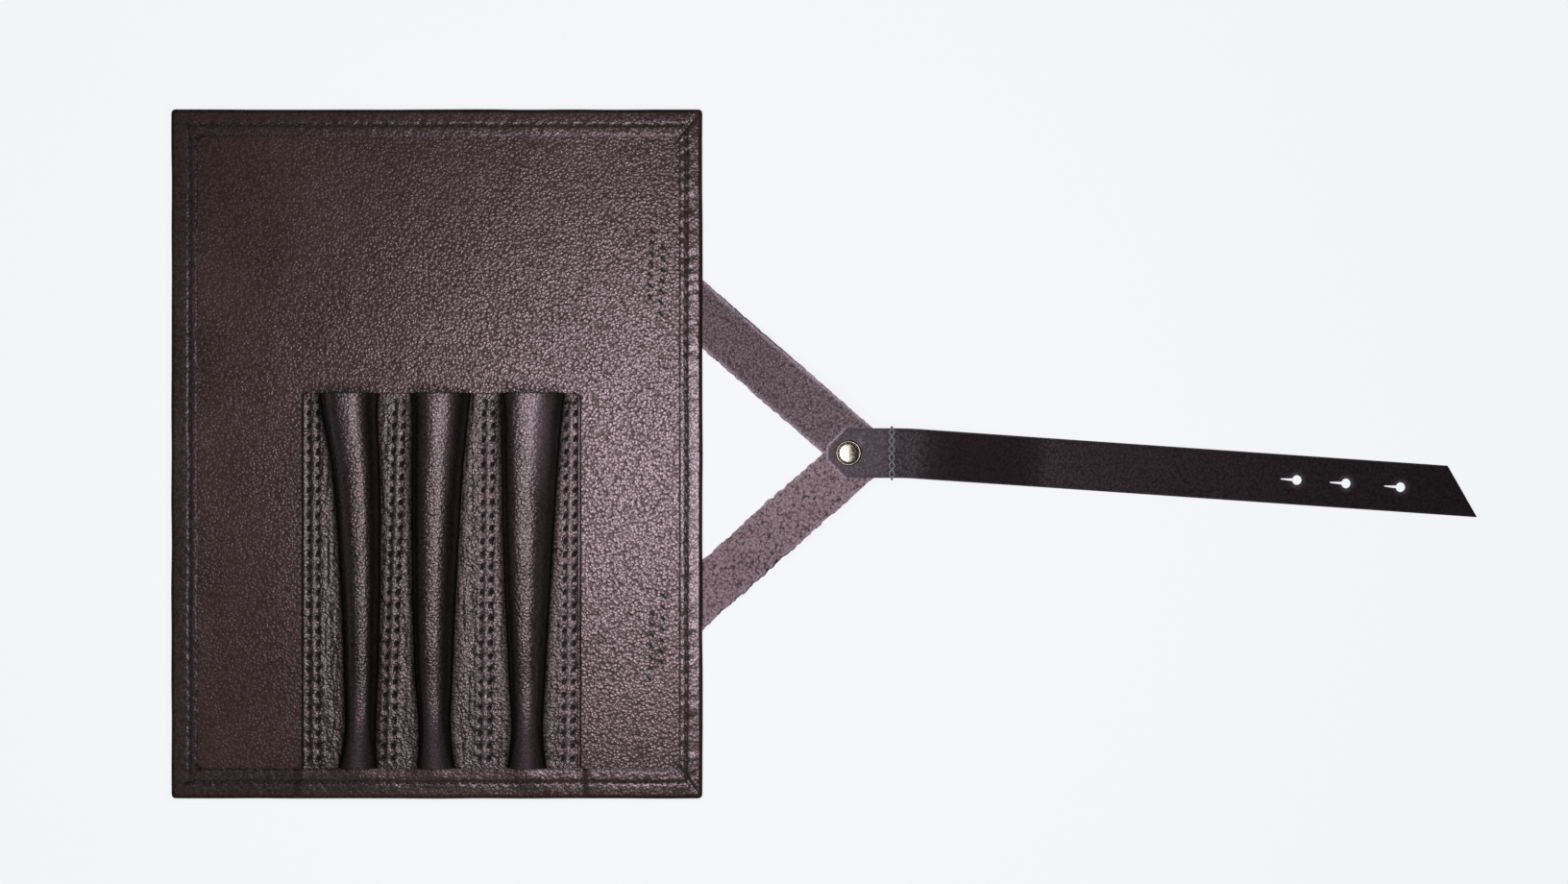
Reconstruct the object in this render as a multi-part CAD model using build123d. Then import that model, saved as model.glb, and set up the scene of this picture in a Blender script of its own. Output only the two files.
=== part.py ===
from build123d import *
import os
from math import cos, floor, hypot, radians, sin, tan

# Leather pen case that rolls up: a hemmed panel with three moulded pen tunnels and a forked closing strap.
# Millimetres. X runs across the panel towards the strap, Y towards the tunnels' mouths, Z up from the
# panel's back. The origin is the middle of the panel's back face, and the case lies on its back.

# Panel, and the leathers it is layered from
panel_width = 166.0
panel_height = 215.4
cover_thickness = 1.0
stiffener_thickness = 0.6
lining_thickness = 0.9
edge_roll = 1.2

# Turned-over hem, one width for each side
hem_left = 8.4
hem_right = 7.4
hem_top = 8.7
hem_bottom = 9.6

# Pocket sheet, whose foot is tucked under the bottom hem
pocket_left_x = -42.2
pocket_right_x = 45.2
pocket_depth = 117.1
pocket_thickness = 0.9
pocket_corner = 1.8

# Pen tunnels. Each station is (share of the way from mouth to hem, centre x, width, height), taken outside
tunnel_stations = {
    "pocket_left": [
        (0.0, -27.2, 16.5, 13.8),
        (0.188, -25.2, 13.8, 12.4),
        (0.448, -23.8, 11.4, 10.8),
        (0.747, -23.5, 9.3, 9.2),
        (0.922, -23.8, 8.6, 7.6),
    ],
    "pocket_middle": [
        (0.0, 1.5, 17.1, 14.3),
        (0.188, 0.4, 15.0, 13.2),
        (0.448, -0.5, 13.0, 11.8),
        (0.747, -0.9, 10.6, 9.8),
        (0.922, -0.4, 8.8, 7.8),
    ],
    "pocket_right": [
        (0.0, 29.9, 19.0, 15.4),
        (0.188, 29.2, 16.6, 14.0),
        (0.448, 28.5, 14.0, 12.4),
        (0.747, 28.3, 10.3, 9.9),
        (0.922, 28.0, 8.8, 7.8),
    ],
}
tunnel_end_width = 10.2
tunnel_end_height = 1.9
tunnel_end_gap = 0.5
tunnel_inner_end_gap = 3.2
tunnel_inner_end_height = 2.2

# Folds that the panel rolls up on. The two between tunnels lean with the seams that they follow
fold_margin = 1.5
fold_left_land_top_x = -11.85
fold_left_land_foot_x = -15.15
fold_right_land_top_x = 16.2
fold_right_land_foot_x = 14.85

# Seams that hold the pocket sheet down, two rows of stitches each
seam_top_gap = 6.2
seam_foot_gap = 2.9
seam_row_spacing = 2.8
outer_left_seam_x = -38.5
outer_right_seam_top_x = 42.0
outer_right_seam_foot_x = 40.95
seam_pitch = 3.93

# Stitches, all of one thread
stitch_length = 2.5
stitch_width = 0.7
stitch_height = 0.3
stitch_angle = 24.0
border_pitch = 3.75
border_inset_left = 5.9
border_inset_right = 5.1
border_inset_top = 5.0
border_inset_bottom = 5.2

# Forked arms, sewn to the back of the panel and lifted over the stud's knob
arm_width = 16.2
arm_thickness = 1.4
upper_arm_angle = 41.1
lower_arm_angle = 41.7
arm_reach = 49.75
junction_y = 0.3
arm_tail_length = 19.5
arm_fold_gap = 0.3
arm_rise_start = 1.2
arm_rise_length = 34.5

# Stitches that hold the arms, two rows on each tail
arm_row_inset = (16.1, 12.6)
arm_row_offset_y = (1.6, -0.6)
arm_stitch_count = 7
arm_stitch_pitch = 3.4

# Long strap. Its head, bend and cross row are placed from where the arms' middle lines meet
strap_width = 15.5
strap_thickness = 1.6
strap_head_back = 11.15
strap_head_cut = 5.4
strap_bend_ahead = 13.75
strap_heading = -3.95
strap_length = 179.8
strap_tip_slant = 10.3
strap_tip_round = 0.8
strap_wrap_at = 58.5
strap_fall_start = 2.5
strap_fall_length = 42.0

# Cross row that sews the strap to the arms
cross_row_ahead = 9.25
cross_stitch_count = 5
cross_wrap_height = 0.5

# Buttoning holes, each with a slit towards the strap's root, placed from the tip
hole_radius = 1.5
hole_from_tip = (57.0, 41.6, 24.5)
slit_length = 3.6
slit_width = 0.4

# Stud: a cap screw from the front, a ball knob at the back
stud_back = 4.25
cap_radius = 4.0
cap_height = 1.1
cap_dome = 0.6
screw_radius = 1.2
screw_clearance = 0.05
screw_depth_in_knob = 2.6
knob_flange_radius = 4.2
knob_flange_height = 0.7
knob_neck_radius = 1.8
knob_neck_length = 1.9
knob_ball_radius = 3.0
knob_ball_flat = 0.4

# Worked out from the sizes above
half_w = panel_width / 2
half_h = panel_height / 2
lining_z = cover_thickness + stiffener_thickness
face_z = lining_z + lining_thickness
hem_z = face_z + cover_thickness
pocket_z = face_z + pocket_thickness
raised_hem_z = pocket_z + cover_thickness
hem_foot_y = -half_h + hem_bottom
pocket_top_y = hem_foot_y + pocket_depth
seam_top_y = pocket_top_y - seam_top_gap
seam_foot_y = hem_foot_y + seam_foot_gap
fold_left_x = pocket_left_x - fold_margin
fold_right_x = pocket_right_x + fold_margin
arm_fold_x = half_w + arm_fold_gap
junction_x = half_w + arm_reach
strap_head_x = junction_x - strap_head_back
strap_bend_x = junction_x + strap_bend_ahead
cross_row_x = junction_x + cross_row_ahead
stud_x = junction_x - stud_back
knob_drop = knob_flange_height + knob_neck_length + 2 * knob_ball_radius - knob_ball_flat
arm_top_z = knob_drop
strap_top_z = arm_top_z + strap_thickness
floor_z = -arm_thickness
far = panel_width + panel_height + strap_length
tall = 4 * (strap_top_z + arm_thickness)


def block(x0, x1, y0, y1, z0, z1):
    """Box between two corners."""
    return Pos((x0 + x1) / 2, (y0 + y1) / 2, (z0 + z1) / 2) * Box(x1 - x0, y1 - y0, z1 - z0)


def prism(points, z0, z1):
    """Upright prism on a polygon."""
    return Pos(0, 0, z0) * extrude(make_face(Polyline(*points, close=True)), z1 - z0, dir=(0, 0, 1))


def save(shape, name):
    """Write one node's file: one solid, or a group of separate ones."""
    solids = shape if isinstance(shape, list) else shape.solids()
    node = solids[0] if len(solids) == 1 else Compound(children=list(solids))
    node.label = name
    export_step(node, f"parts/{name}.step")


def line_x(top_x, foot_x, y):
    """X at height y of a line through the seams' top and foot."""
    return foot_x + (top_x - foot_x) * (y - seam_foot_y) / (seam_top_y - seam_foot_y)


def fold_x(fold, y):
    """X of a fold at height y. Fold 0 is the panel's left edge and fold 5 its right edge."""
    if fold == 2:
        return line_x(fold_left_land_top_x, fold_left_land_foot_x, y)
    if fold == 3:
        return line_x(fold_right_land_top_x, fold_right_land_foot_x, y)
    return {0: -half_w, 1: fold_left_x, 4: fold_right_x, 5: half_w}[fold]


section_names = ["left_flap", "pocket_left", "pocket_middle", "pocket_right", "right_flap"]


def section_prism(index):
    """Space between two neighbouring folds, as high as anything on the panel."""
    low, high = -half_h - 1, half_h + 1
    corners = [
        (fold_x(index, low), low),
        (fold_x(index + 1, low), low),
        (fold_x(index + 1, high), high),
        (fold_x(index, high), high),
    ]
    return prism(corners, -1, tall)


def whole_cover():
    """Outer leather of the whole panel, turned over onto the face on all four sides."""
    body = block(-half_w, half_w, -half_h, half_h, 0, hem_z)
    body = fillet(body.edges().filter_by(Axis.Z), edge_roll)
    back, front = body.faces().sort_by(Axis.Z)[0], body.faces().sort_by(Axis.Z)[-1]
    body = fillet(back.edges() + front.edges(), edge_roll * 0.9)
    raised = block(fold_left_x, fold_right_x, -half_h, hem_foot_y, hem_z / 2, raised_hem_z)
    roll_edge = raised.edges().filter_by(Axis.X).group_by(Axis.Z)[-1].sort_by(Axis.Y)[0]
    body += fillet(roll_edge, edge_roll)
    inner_w, inner_h = half_w - cover_thickness, half_h - cover_thickness
    body -= block(-inner_w, inner_w, -inner_h, inner_h, cover_thickness, face_z)
    body -= block(pocket_left_x, pocket_right_x, -inner_h, hem_foot_y, face_z, pocket_z)
    left, right, top = -half_w + hem_left, half_w - hem_right, half_h - hem_top
    return body - block(left, right, hem_foot_y, top, face_z, raised_hem_z + 1)


def whole_sheet(z0, z1):
    """Flat leather or board that fills the panel inside its turned edges."""
    inner_w, inner_h = half_w - cover_thickness, half_h - cover_thickness
    return block(-inner_w, inner_w, -inner_h, inner_h, z0, z1)


def arch(y, centre_x, width, height):
    """Half-ellipse across the tunnel, standing on the lining."""
    plane = Plane(origin=(centre_x, y, face_z), x_dir=(1, 0, 0), z_dir=(0, -1, 0))
    curve = EllipticalCenterArc((0, 0), width / 2, height, start_angle=0, arc_size=180)
    return plane * make_face([curve, Line(curve @ 1, curve @ 0)])


def tunnel_solid(stations, inset):
    """Loft through the stations, drawn in by inset; with no inset it ends in the closed, flattened foot."""
    rows = []
    for share, x, width, height in stations:
        rows.append((pocket_top_y - pocket_depth * share, x, width - 2 * inset, height - inset))
    foot_x = stations[-1][1]
    if inset:
        end_y = hem_foot_y + tunnel_inner_end_gap
        rows.append((end_y, foot_x, stations[-1][2] - 2 * inset, tunnel_inner_end_height))
    else:
        rows.append((hem_foot_y + tunnel_end_gap, foot_x, tunnel_end_width, tunnel_end_height))
    faces = [arch(*row) for row in rows]
    body = loft(faces)
    if inset:
        body += extrude(faces[0], 1.0, dir=(0, 1, 0))
    return body


def pocket_section(index):
    """One third of the pocket sheet: two lands and the tunnel between them."""
    inner_h = half_h - cover_thickness
    sheet = block(pocket_left_x, pocket_right_x, -inner_h, pocket_top_y, face_z, pocket_z)
    upper_corners = sheet.edges().filter_by(Axis.Z).group_by(Axis.Y)[-1]
    sheet = fillet(upper_corners, pocket_corner)
    sheet &= section_prism(index)
    stations = tunnel_stations[section_names[index]]
    return sheet + tunnel_solid(stations, 0) - tunnel_solid(stations, pocket_thickness)


def stitch(x, y, z, direction):
    """One stitch: a flat-bottomed bar of thread lying on the leather."""
    bar = Box(stitch_length, stitch_width, stitch_height)
    return Pos(x, y, z + stitch_height / 2) * Rot(0, 0, direction) * bar


def stitch_row(start, end, count, z, slant):
    """Stitches spread evenly from start to end, each leaning by slant from the row."""
    (x0, y0), (x1, y1) = start, end
    along = Vector(x1 - x0, y1 - y0).get_angle(Vector(1, 0)) * (1 if y1 >= y0 else -1)
    places = [(i + 0.5) / count for i in range(count)]
    return [stitch(x0 + (x1 - x0) * t, y0 + (y1 - y0) * t, z, along + slant) for t in places]


def border_stitches(index):
    """Hem stitches of one section, spaced so that none crosses a fold."""
    low_y, high_y = -half_h + border_inset_bottom, half_h - border_inset_top
    left, right = -half_w + border_inset_left, half_w - border_inset_right
    foot_z = raised_hem_z if 1 <= index <= 3 else hem_z
    bars = []
    for y, z in ((low_y, foot_z), (high_y, hem_z)):
        x0, x1 = max(fold_x(index, y), left), min(fold_x(index + 1, y), right)
        count = floor((x1 - x0) / border_pitch)
        bars += stitch_row((x0, y), (x1, y), count, z, stitch_angle)
    side = {0: left, 4: right}.get(index)
    if side is not None:
        count = floor((high_y - low_y) / border_pitch) - 1
        margin = border_pitch / 2
        bars += stitch_row((side, low_y + margin), (side, high_y - margin), count, hem_z, -stitch_angle)
    return bars


def seam_rows(top_x, foot_x, sides):
    """Rows of one pocket seam: -1 is the row left of its middle line, +1 the row right of it."""
    count = round((seam_top_y - seam_foot_y) / seam_pitch)
    bars = []
    for side in sides:
        offset = side * seam_row_spacing / 2
        start, end = (foot_x + offset, seam_foot_y), (top_x + offset, seam_top_y)
        bars += stitch_row(start, end, count, pocket_z, -stitch_angle)
    return bars


def band(anchor, slope, length_back, length_ahead):
    """Corners of a straight arm through anchor, which climbs at slope towards the strap."""
    along = Vector(cos(radians(slope)), sin(radians(slope)))
    across = Vector(-along.Y, along.X) * (arm_width / 2)
    back, ahead = anchor - along * length_back, anchor + along * length_ahead
    return [(p.X, p.Y) for p in (back - across, ahead - across, ahead + across, back + across)]


def s_curve(x0, z0, run, rise):
    """Two tangent arcs that climb from level to level."""
    middle = (x0 + run / 2, z0 + rise / 2)
    first = TangentArc((x0, z0), middle, tangent=(1, 0))
    second = TangentArc(middle, (x0 + run, z0 + rise), tangent=first % 1)
    return [first, second]


def ribbon(x0, z0, rise_x, run, rise, x1, thickness):
    """Leather seen from its side, from x0 to x1: level, an easy slope, level; as wide as anything here."""
    low = [Line((x0, z0), (rise_x, z0)), *s_curve(rise_x, z0, run, rise)]
    low.append(Line((rise_x + run, z0 + rise), (x1, z0 + rise)))
    high = [Pos(0, thickness) * edge for edge in low]
    sides = [Line((x0, z0), (x0, z0 + thickness)), Line((x1, z0 + rise), (x1, z0 + rise + thickness))]
    face = Plane.XZ * make_face(low + high + sides)
    return extrude(face, far / 2, dir=(0, 1, 0), both=True)


def arm_plan(slope, side):
    """Outline prism of one arm, mitred against the other along the strap's middle line."""
    corners = band(Vector(junction_x, junction_y), slope, far / 4, 2 * arm_width)
    half_plane = block(0, far, min(0, side * far) + junction_y, max(0, side * far) + junction_y, -tall, tall)
    return prism(corners, -tall, tall) & half_plane


def arm(slope, side):
    """Free stretch of one arm, from the panel's edge up to the strap's head."""
    side_view = ribbon(
        arm_fold_x, floor_z, arm_fold_x + arm_rise_start, arm_rise_length, knob_drop, far / 2, arm_thickness
    )
    return arm_plan(slope, side) & side_view - stud_hole()


def arm_tail(slope, side):
    """End of one arm that lies under the panel and is sewn to it."""
    return arm_plan(slope, side) & block(half_w - arm_tail_length, arm_fold_x, -far, far, floor_z, 0)


def stud_hole():
    """Hole that the screw passes through, in the strap's head and the arms."""
    return Pos(stud_x, junction_y, 0) * Cylinder(screw_radius + screw_clearance, tall)


def strap_head():
    """Eight-sided end of the strap, on top of the arms, as far as the strap's first bend."""
    half, cut = strap_width / 2, strap_head_cut
    y0 = junction_y
    corners = [
        (strap_head_x, y0 - half + cut),
        (strap_head_x + cut, y0 - half),
        (strap_bend_x, y0 - half),
        (strap_bend_x, y0 + half),
        (strap_head_x + cut, y0 + half),
        (strap_head_x, y0 + half - cut),
    ]
    return prism(corners, arm_top_z, strap_top_z) - stud_hole()


def strap_place():
    """Frame of the strap past its first bend: X along it, at the heading that it lies in."""
    return Pos(strap_bend_x, junction_y, 0) * Rot(0, 0, strap_heading)


def strap_middle():
    """Strap from its bend down to the surface that the case lies on."""
    slip = strap_width / 2 * tan(radians(-strap_heading))
    half = strap_width / 2
    corners = [(slip, -half), (strap_wrap_at, -half), (strap_wrap_at, half), (-slip, half)]
    fall = floor_z - arm_top_z
    side_view = ribbon(
        -strap_width, arm_top_z, strap_fall_start, strap_fall_length, fall, far / 2, strap_thickness
    )
    return strap_place() * (prism(corners, -tall, tall) & side_view)


def strap_end():
    """Last stretch of the strap: three buttoning holes and a slanted tip."""
    half = strap_width / 2
    short = strap_length - strap_tip_slant
    corners = [(strap_wrap_at, -half), (strap_length, -half), (short, half), (strap_wrap_at, half)]
    body = prism(corners, floor_z, floor_z + strap_thickness)
    tip_edges = body.edges().filter_by(Axis.Z).sort_by(Axis.X)[-2:]
    body = fillet(tip_edges, strap_tip_round)
    for back in hole_from_tip:
        at = strap_length - back
        body -= Pos(at, 0, 0) * Cylinder(hole_radius, tall)
        body -= block(at - hole_radius - slit_length, at, -slit_width / 2, slit_width / 2, -tall, tall)
    return strap_place() * body


def arm_stitches(side):
    """Two rows that hold one tail to the panel, across the arm."""
    slope = upper_arm_angle if side > 0 else lower_arm_angle
    bars = []
    half_run = arm_stitch_count * arm_stitch_pitch / 2
    for inset, lift in zip(arm_row_inset, arm_row_offset_y):
        x = half_w - inset
        middle = junction_y + side * ((junction_x - x) * tan(radians(slope)) + lift)
        start, end = (x, middle - half_run), (x, middle + half_run)
        bars += stitch_row(start, end, arm_stitch_count, face_z, -stitch_angle)
    return bars


def cross_stitches():
    """Row across the strap's head, with a loop round each edge."""
    half = strap_width / 2
    start, end = (cross_row_x, junction_y - half), (cross_row_x, junction_y + half)
    bars = stitch_row(start, end, cross_stitch_count, strap_top_z, 0)
    for side in (-1, 1):
        y = junction_y + side * (half + stitch_height / 2)
        top = strap_top_z + stitch_height
        bottom = arm_top_z - cross_wrap_height
        height = top - bottom
        loop = Box(stitch_width, stitch_height, height)
        bars.append(Pos(cross_row_x, y, (top + bottom) / 2) * loop)
    return bars


def stud_screw():
    """Domed cap on the strap's face, with the screw that goes down into the knob."""
    place = Pos(stud_x, junction_y, strap_top_z)
    cap = extrude(Circle(cap_radius), cap_height)
    cap = fillet(cap.faces().sort_by(Axis.Z)[-1].edges(), cap_dome)
    depth = strap_thickness + arm_thickness + screw_depth_in_knob
    shank = Pos(0, 0, -depth) * extrude(Circle(screw_radius), depth)
    return place * (cap + shank)


def stud_knob():
    """Flange against the arms' back, neck, and the ball that the strap's holes button over."""
    place = Pos(stud_x, junction_y, arm_top_z - arm_thickness)
    flange = Pos(0, 0, -knob_flange_height) * extrude(Circle(knob_flange_radius), knob_flange_height)
    neck_end = knob_flange_height + knob_neck_length + knob_ball_radius / 2
    neck = Pos(0, 0, -neck_end) * extrude(Circle(knob_neck_radius), neck_end)
    ball = Pos(0, 0, -knob_drop + knob_ball_radius) * Sphere(knob_ball_radius)
    bore_depth = screw_depth_in_knob + screw_clearance
    bore = Pos(0, 0, -bore_depth) * extrude(Circle(screw_radius + screw_clearance), bore_depth)
    return place * (flange + neck + ball - bore)


os.makedirs("parts", exist_ok=True)

cover = whole_cover()
stiffener = whole_sheet(cover_thickness, lining_z)
lining = whole_sheet(lining_z, face_z)
for number, section in enumerate(section_names):
    space = section_prism(number)
    save(cover & space, f"cover_{section}")
    save(stiffener & space, f"stiffener_{section}")
    save(lining & space, f"lining_{section}")
    save(border_stitches(number), f"hem_stitches_{section}")

for number in (1, 2, 3):
    save(pocket_section(number), f"pen_{section_names[number]}")

save(seam_rows(outer_left_seam_x, outer_left_seam_x, (-1, 1)), "seam_stitches_outer_left")
save(seam_rows(fold_left_land_top_x, fold_left_land_foot_x, (-1,)), "seam_stitches_inner_left_a")
save(seam_rows(fold_left_land_top_x, fold_left_land_foot_x, (1,)), "seam_stitches_inner_left_b")
save(seam_rows(fold_right_land_top_x, fold_right_land_foot_x, (-1,)), "seam_stitches_inner_right_a")
save(seam_rows(fold_right_land_top_x, fold_right_land_foot_x, (1,)), "seam_stitches_inner_right_b")
save(seam_rows(outer_right_seam_top_x, outer_right_seam_foot_x, (-1, 1)), "seam_stitches_outer_right")

save(arm(-upper_arm_angle, 1), "upper_arm")
save(arm(lower_arm_angle, -1), "lower_arm")
save(arm_tail(-upper_arm_angle, 1), "upper_arm_tail")
save(arm_tail(lower_arm_angle, -1), "lower_arm_tail")
save(arm_stitches(1), "upper_arm_stitches")
save(arm_stitches(-1), "lower_arm_stitches")
save(strap_head(), "strap_head")
save(strap_middle(), "strap_middle")
save(strap_end(), "strap_end")
save(cross_stitches(), "strap_cross_stitches")
save(stud_screw(), "stud_cap_screw")
save(stud_knob(), "stud_knob")
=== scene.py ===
"""Roll-up leather pen case, lying open: its leather, thread and brass, built around its construction.

Lengths inside the functions are millimetres, in the case's own frame: X across the panel towards the strap,
Y along the pen tunnels towards their mouths, Z up out of the pocket face. Meshes are written in metres.
"""

import bpy
import numpy as np
from bpy.props import FloatProperty, FloatVectorProperty, PointerProperty
from bpy.types import Operator, Panel, PropertyGroup
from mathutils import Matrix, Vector


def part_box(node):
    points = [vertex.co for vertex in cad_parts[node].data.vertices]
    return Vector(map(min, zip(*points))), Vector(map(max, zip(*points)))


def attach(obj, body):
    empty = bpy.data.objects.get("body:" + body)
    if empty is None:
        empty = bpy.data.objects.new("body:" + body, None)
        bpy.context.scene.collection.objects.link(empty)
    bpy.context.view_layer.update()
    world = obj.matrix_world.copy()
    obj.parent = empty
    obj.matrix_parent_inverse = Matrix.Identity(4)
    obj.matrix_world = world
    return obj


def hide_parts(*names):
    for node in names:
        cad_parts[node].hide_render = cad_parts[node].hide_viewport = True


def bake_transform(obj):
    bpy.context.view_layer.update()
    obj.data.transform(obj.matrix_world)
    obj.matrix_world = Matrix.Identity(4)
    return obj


bl_info = {
    "name": "Roll-up pen case",
    "version": (1, 0, 0),
    "blender": (4, 5, 0),
    "location": "View3D > Sidebar > Pen case",
    "description": "Builds the leather, thread and brass of a roll-up pen case",
    "category": "Add Mesh",
}

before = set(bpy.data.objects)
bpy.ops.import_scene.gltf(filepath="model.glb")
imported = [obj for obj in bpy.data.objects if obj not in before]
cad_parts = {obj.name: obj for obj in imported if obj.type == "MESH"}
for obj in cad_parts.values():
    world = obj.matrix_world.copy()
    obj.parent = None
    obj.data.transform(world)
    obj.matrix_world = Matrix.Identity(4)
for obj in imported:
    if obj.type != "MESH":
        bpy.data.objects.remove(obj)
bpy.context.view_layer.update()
MM = 0.001


def node_box(name):
    """Lowest and highest corner of one node of the construction, in millimetres."""
    low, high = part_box(name)
    return np.array(low) / MM, np.array(high) / MM


# Places and levels read from the construction
HALF_W, HALF_H = node_box("cover_right_flap")[1][:2]
STIFFENER_TOP = node_box("stiffener_left_flap")[1][2]
LINING_Z = node_box("lining_left_flap")[1][2]
HEM_Z = node_box("cover_left_flap")[1][2]
RAISED_HEM_Z = node_box("cover_pocket_middle")[1][2]
POCKET_LEFT = node_box("pen_pocket_left")[0][0]
POCKET_RIGHT = node_box("pen_pocket_right")[1][0]
POCKET_TOP = node_box("pen_pocket_middle")[1][1]
TAIL_END, _, FLOOR_Z = node_box("upper_arm_tail")[0]
ARM_TOP = node_box("upper_arm")[1][2]
HEAD_BOX = node_box("strap_head")
HEAD_X = HEAD_BOX[0][0]
BEND_X = HEAD_BOX[1][0]
MIDDLE_Y = (HEAD_BOX[0][1] + HEAD_BOX[1][1]) / 2
STRAP_WIDTH = HEAD_BOX[1][1] - HEAD_BOX[0][1]
STRAP_TOP = HEAD_BOX[1][2]
STRAP_THICK = STRAP_TOP - ARM_TOP
CAP_BOX = node_box("stud_cap_screw")
STUD_X = (CAP_BOX[0][0] + CAP_BOX[1][0]) / 2

# Walls of the sheets, a few hundredths thinner than the construction's, so that no two faces share a plane
COVER_WALL = 0.98
LINING_WALL = LINING_Z - STIFFENER_TOP - 0.05
POCKET_THICK = 0.9
POCKET_WALL = POCKET_THICK - 0.05
ARM_WALL = 1.35
STRAP_WALL = STRAP_THICK - 0.03
POCKET_Z = LINING_Z + POCKET_THICK

# Panel: its rolled edge and corner, the back plate's margin and corner, and the spacing of its grids
EDGE_ROLL = 1.2
PANEL_CORNER = 1.3
PLATE_EDGE = 2.0
PLATE_CORNER = 0.6
GRAIN_STEP = 0.8

# Cuts between the pieces of a sheet, each midway between two folds, where the leather stays flat. For each
# piece: the two bodies it lies between, its fold, and a reach before and after the fold's line
CUTS = (-27.0, 0.0, 29.0)
BENDS = (
    ("left_flap", "pocket_left", "left_flap_fold", (9.5, 1.2)),
    ("pocket_left", "pocket_middle", "left_land_fold", (4.4, 4.4)),
    ("pocket_middle", "pocket_right", "pocket_roll", (4.1, 4.1)),
    ("pocket_right", "right_flap", "right_flap_fold", (1.2, 9.5)),
)
SECTION_NODES = (("left_flap",), ("pocket_left",), ("pocket_middle",), ("pocket_right", "right_flap"))

# Hem, in the order of its sides: its stitches' distance from the edge and their pitch, the depth of its
# groove and creases, and how dark the painted shade is along its inner edge
SIDES = ("left", "right", "bottom", "top")
ROW_INSETS = np.array([5.9, 5.1, 5.2, 5.0])
ROW_PITCHES = np.array([3.79, 3.7, 3.37, 3.87])
GROOVE_DEPTHS = np.array([0.13, 0.18, 0.13, 0.09])
CREASE_DEPTHS = np.array([0.05, 0.1, 0.05, 0.05])
INNER_EDGE_SHADE = np.array([0.75, 0.2, 0.75, 0.5])

# Tunnels: share of the way from mouth to hem, middle x, half width, height over the land, and the lean
TUNNELS = {
    "pocket_left": [
        (0.0, -27.2, 8.6, 13.8, 0.0),
        (0.03, -27.1, 8.2, 13.7, 0.0),
        (0.188, -25.2, 6.9, 12.4, 0.2),
        (0.448, -23.8, 5.7, 10.8, 0.2),
        (0.747, -23.5, 4.65, 9.2, 0.2),
        (0.922, -23.9, 4.3, 6.6, 0.0),
        (1.0, -24.6, 5.3, 2.1, 0.0),
    ],
    "pocket_middle": [
        (0.0, 1.5, 8.7, 14.3, -0.8),
        (0.03, 1.4, 8.4, 14.2, -0.8),
        (0.188, 0.4, 7.5, 13.2, -0.6),
        (0.448, -0.5, 6.5, 11.8, -0.4),
        (0.747, -0.9, 5.3, 9.8, -0.2),
        (0.922, -0.5, 4.4, 6.8, 0.0),
        (1.0, -0.2, 5.3, 2.1, 0.0),
    ],
    "pocket_right": [
        (0.0, 29.9, 9.6, 15.4, -1.6),
        (0.03, 29.8, 9.3, 15.3, -1.6),
        (0.188, 29.2, 8.3, 14.0, -1.6),
        (0.448, 28.5, 7.0, 12.4, -1.0),
        (0.747, 28.3, 5.15, 9.9, -0.5),
        (0.922, 28.2, 4.4, 6.9, 0.0),
        (1.0, 28.1, 5.4, 2.1, 0.0),
    ],
}

# Tunnels' section: sine of the angle at the base, width of the flare there, and the power of the shoulders
BASE_SINK = 0.28
BASE_FLARE = 0.9
SHOULDER_POWER = 0.8

# Pocket sheet: its top corners, what is tucked under the hem, and how strong the painted highlight on its
# ridges is
POCKET_CORNER = 1.8
UNDER_HEM = 3.0
MOUTH_HIGHLIGHTS = {"pocket_left": 0.1, "pocket_middle": 0.15, "pocket_right": 0.4}
FOOT_HIGHLIGHT = 0.2

# Seams of the pocket sheet: x of the middle line at its top and foot, the painted highlight on the puffs, and
# the body or the fold that each seam goes with. The two rows of a seam lie an offset to the left and right of
# it
SEAMS = {
    "outer_left": (-38.5, -38.5),
    "outer_right": (42.0, 40.95),
    "inner_left": (-11.85, -15.15),
    "inner_right": (16.2, 14.85),
}
PUFF_HIGHLIGHTS = {"outer_left": 0.05, "outer_right": 0.28, "inner_left": 0.08, "inner_right": 0.2}
RIGID_SEAMS = {"outer_left": "pocket_left", "outer_right": "pocket_right"}
BENT_SEAMS = {"inner_left": BENDS[1], "inner_right": BENDS[2]}
SEAM_TOP_Y = 12.8
SEAM_FOOT_Y = -95.2
SEAM_COUNT = 27
SEAM_PITCH = (SEAM_TOP_Y - SEAM_FOOT_Y) / SEAM_COUNT
ROW_OFFSET = 1.4
LAND_STEP = 0.34

# Awl holes of the seams: slant in degrees, and how far their darkness and depth reach along and across
AWL_HOLE = (32.0, 0.64, 0.36)

# Stitches: length, slant to their row in degrees, and rise over the leather; levels of those on the back
HEM_STITCH = (3.0, 17.0, 0.1)
SEAM_STITCH = (3.1, -8.0, -0.38)
ARM_STITCH = (2.1, 42.0, 0.2)
BACK_LEVEL = 0.02
TAIL_BACK_LEVEL = FLOOR_Z + 0.1

# Arms: slope in degrees, raggedness of the edges and share of pale nap; where they meet, rise and bend
ARMS = {"upper": (-41.1, 0.16, 0.08), "lower": (41.7, 0.3, 0.2)}
ARM_WIDTH = 16.2
JUNCTION_X = 132.75
ARM_RISE_X = 84.5
ARM_RISE_LENGTH = 34.5

# Two short rows sew each arm's tail: the x of each and its shift away from the case's middle, and their lean
ARM_ROWS = ((66.9, 1.6), (70.4, -0.6))
ARM_ROW_COUNT = 7
ARM_ROW_PITCH = 3.4
ARM_ROW_LEAN = 0.045

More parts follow.
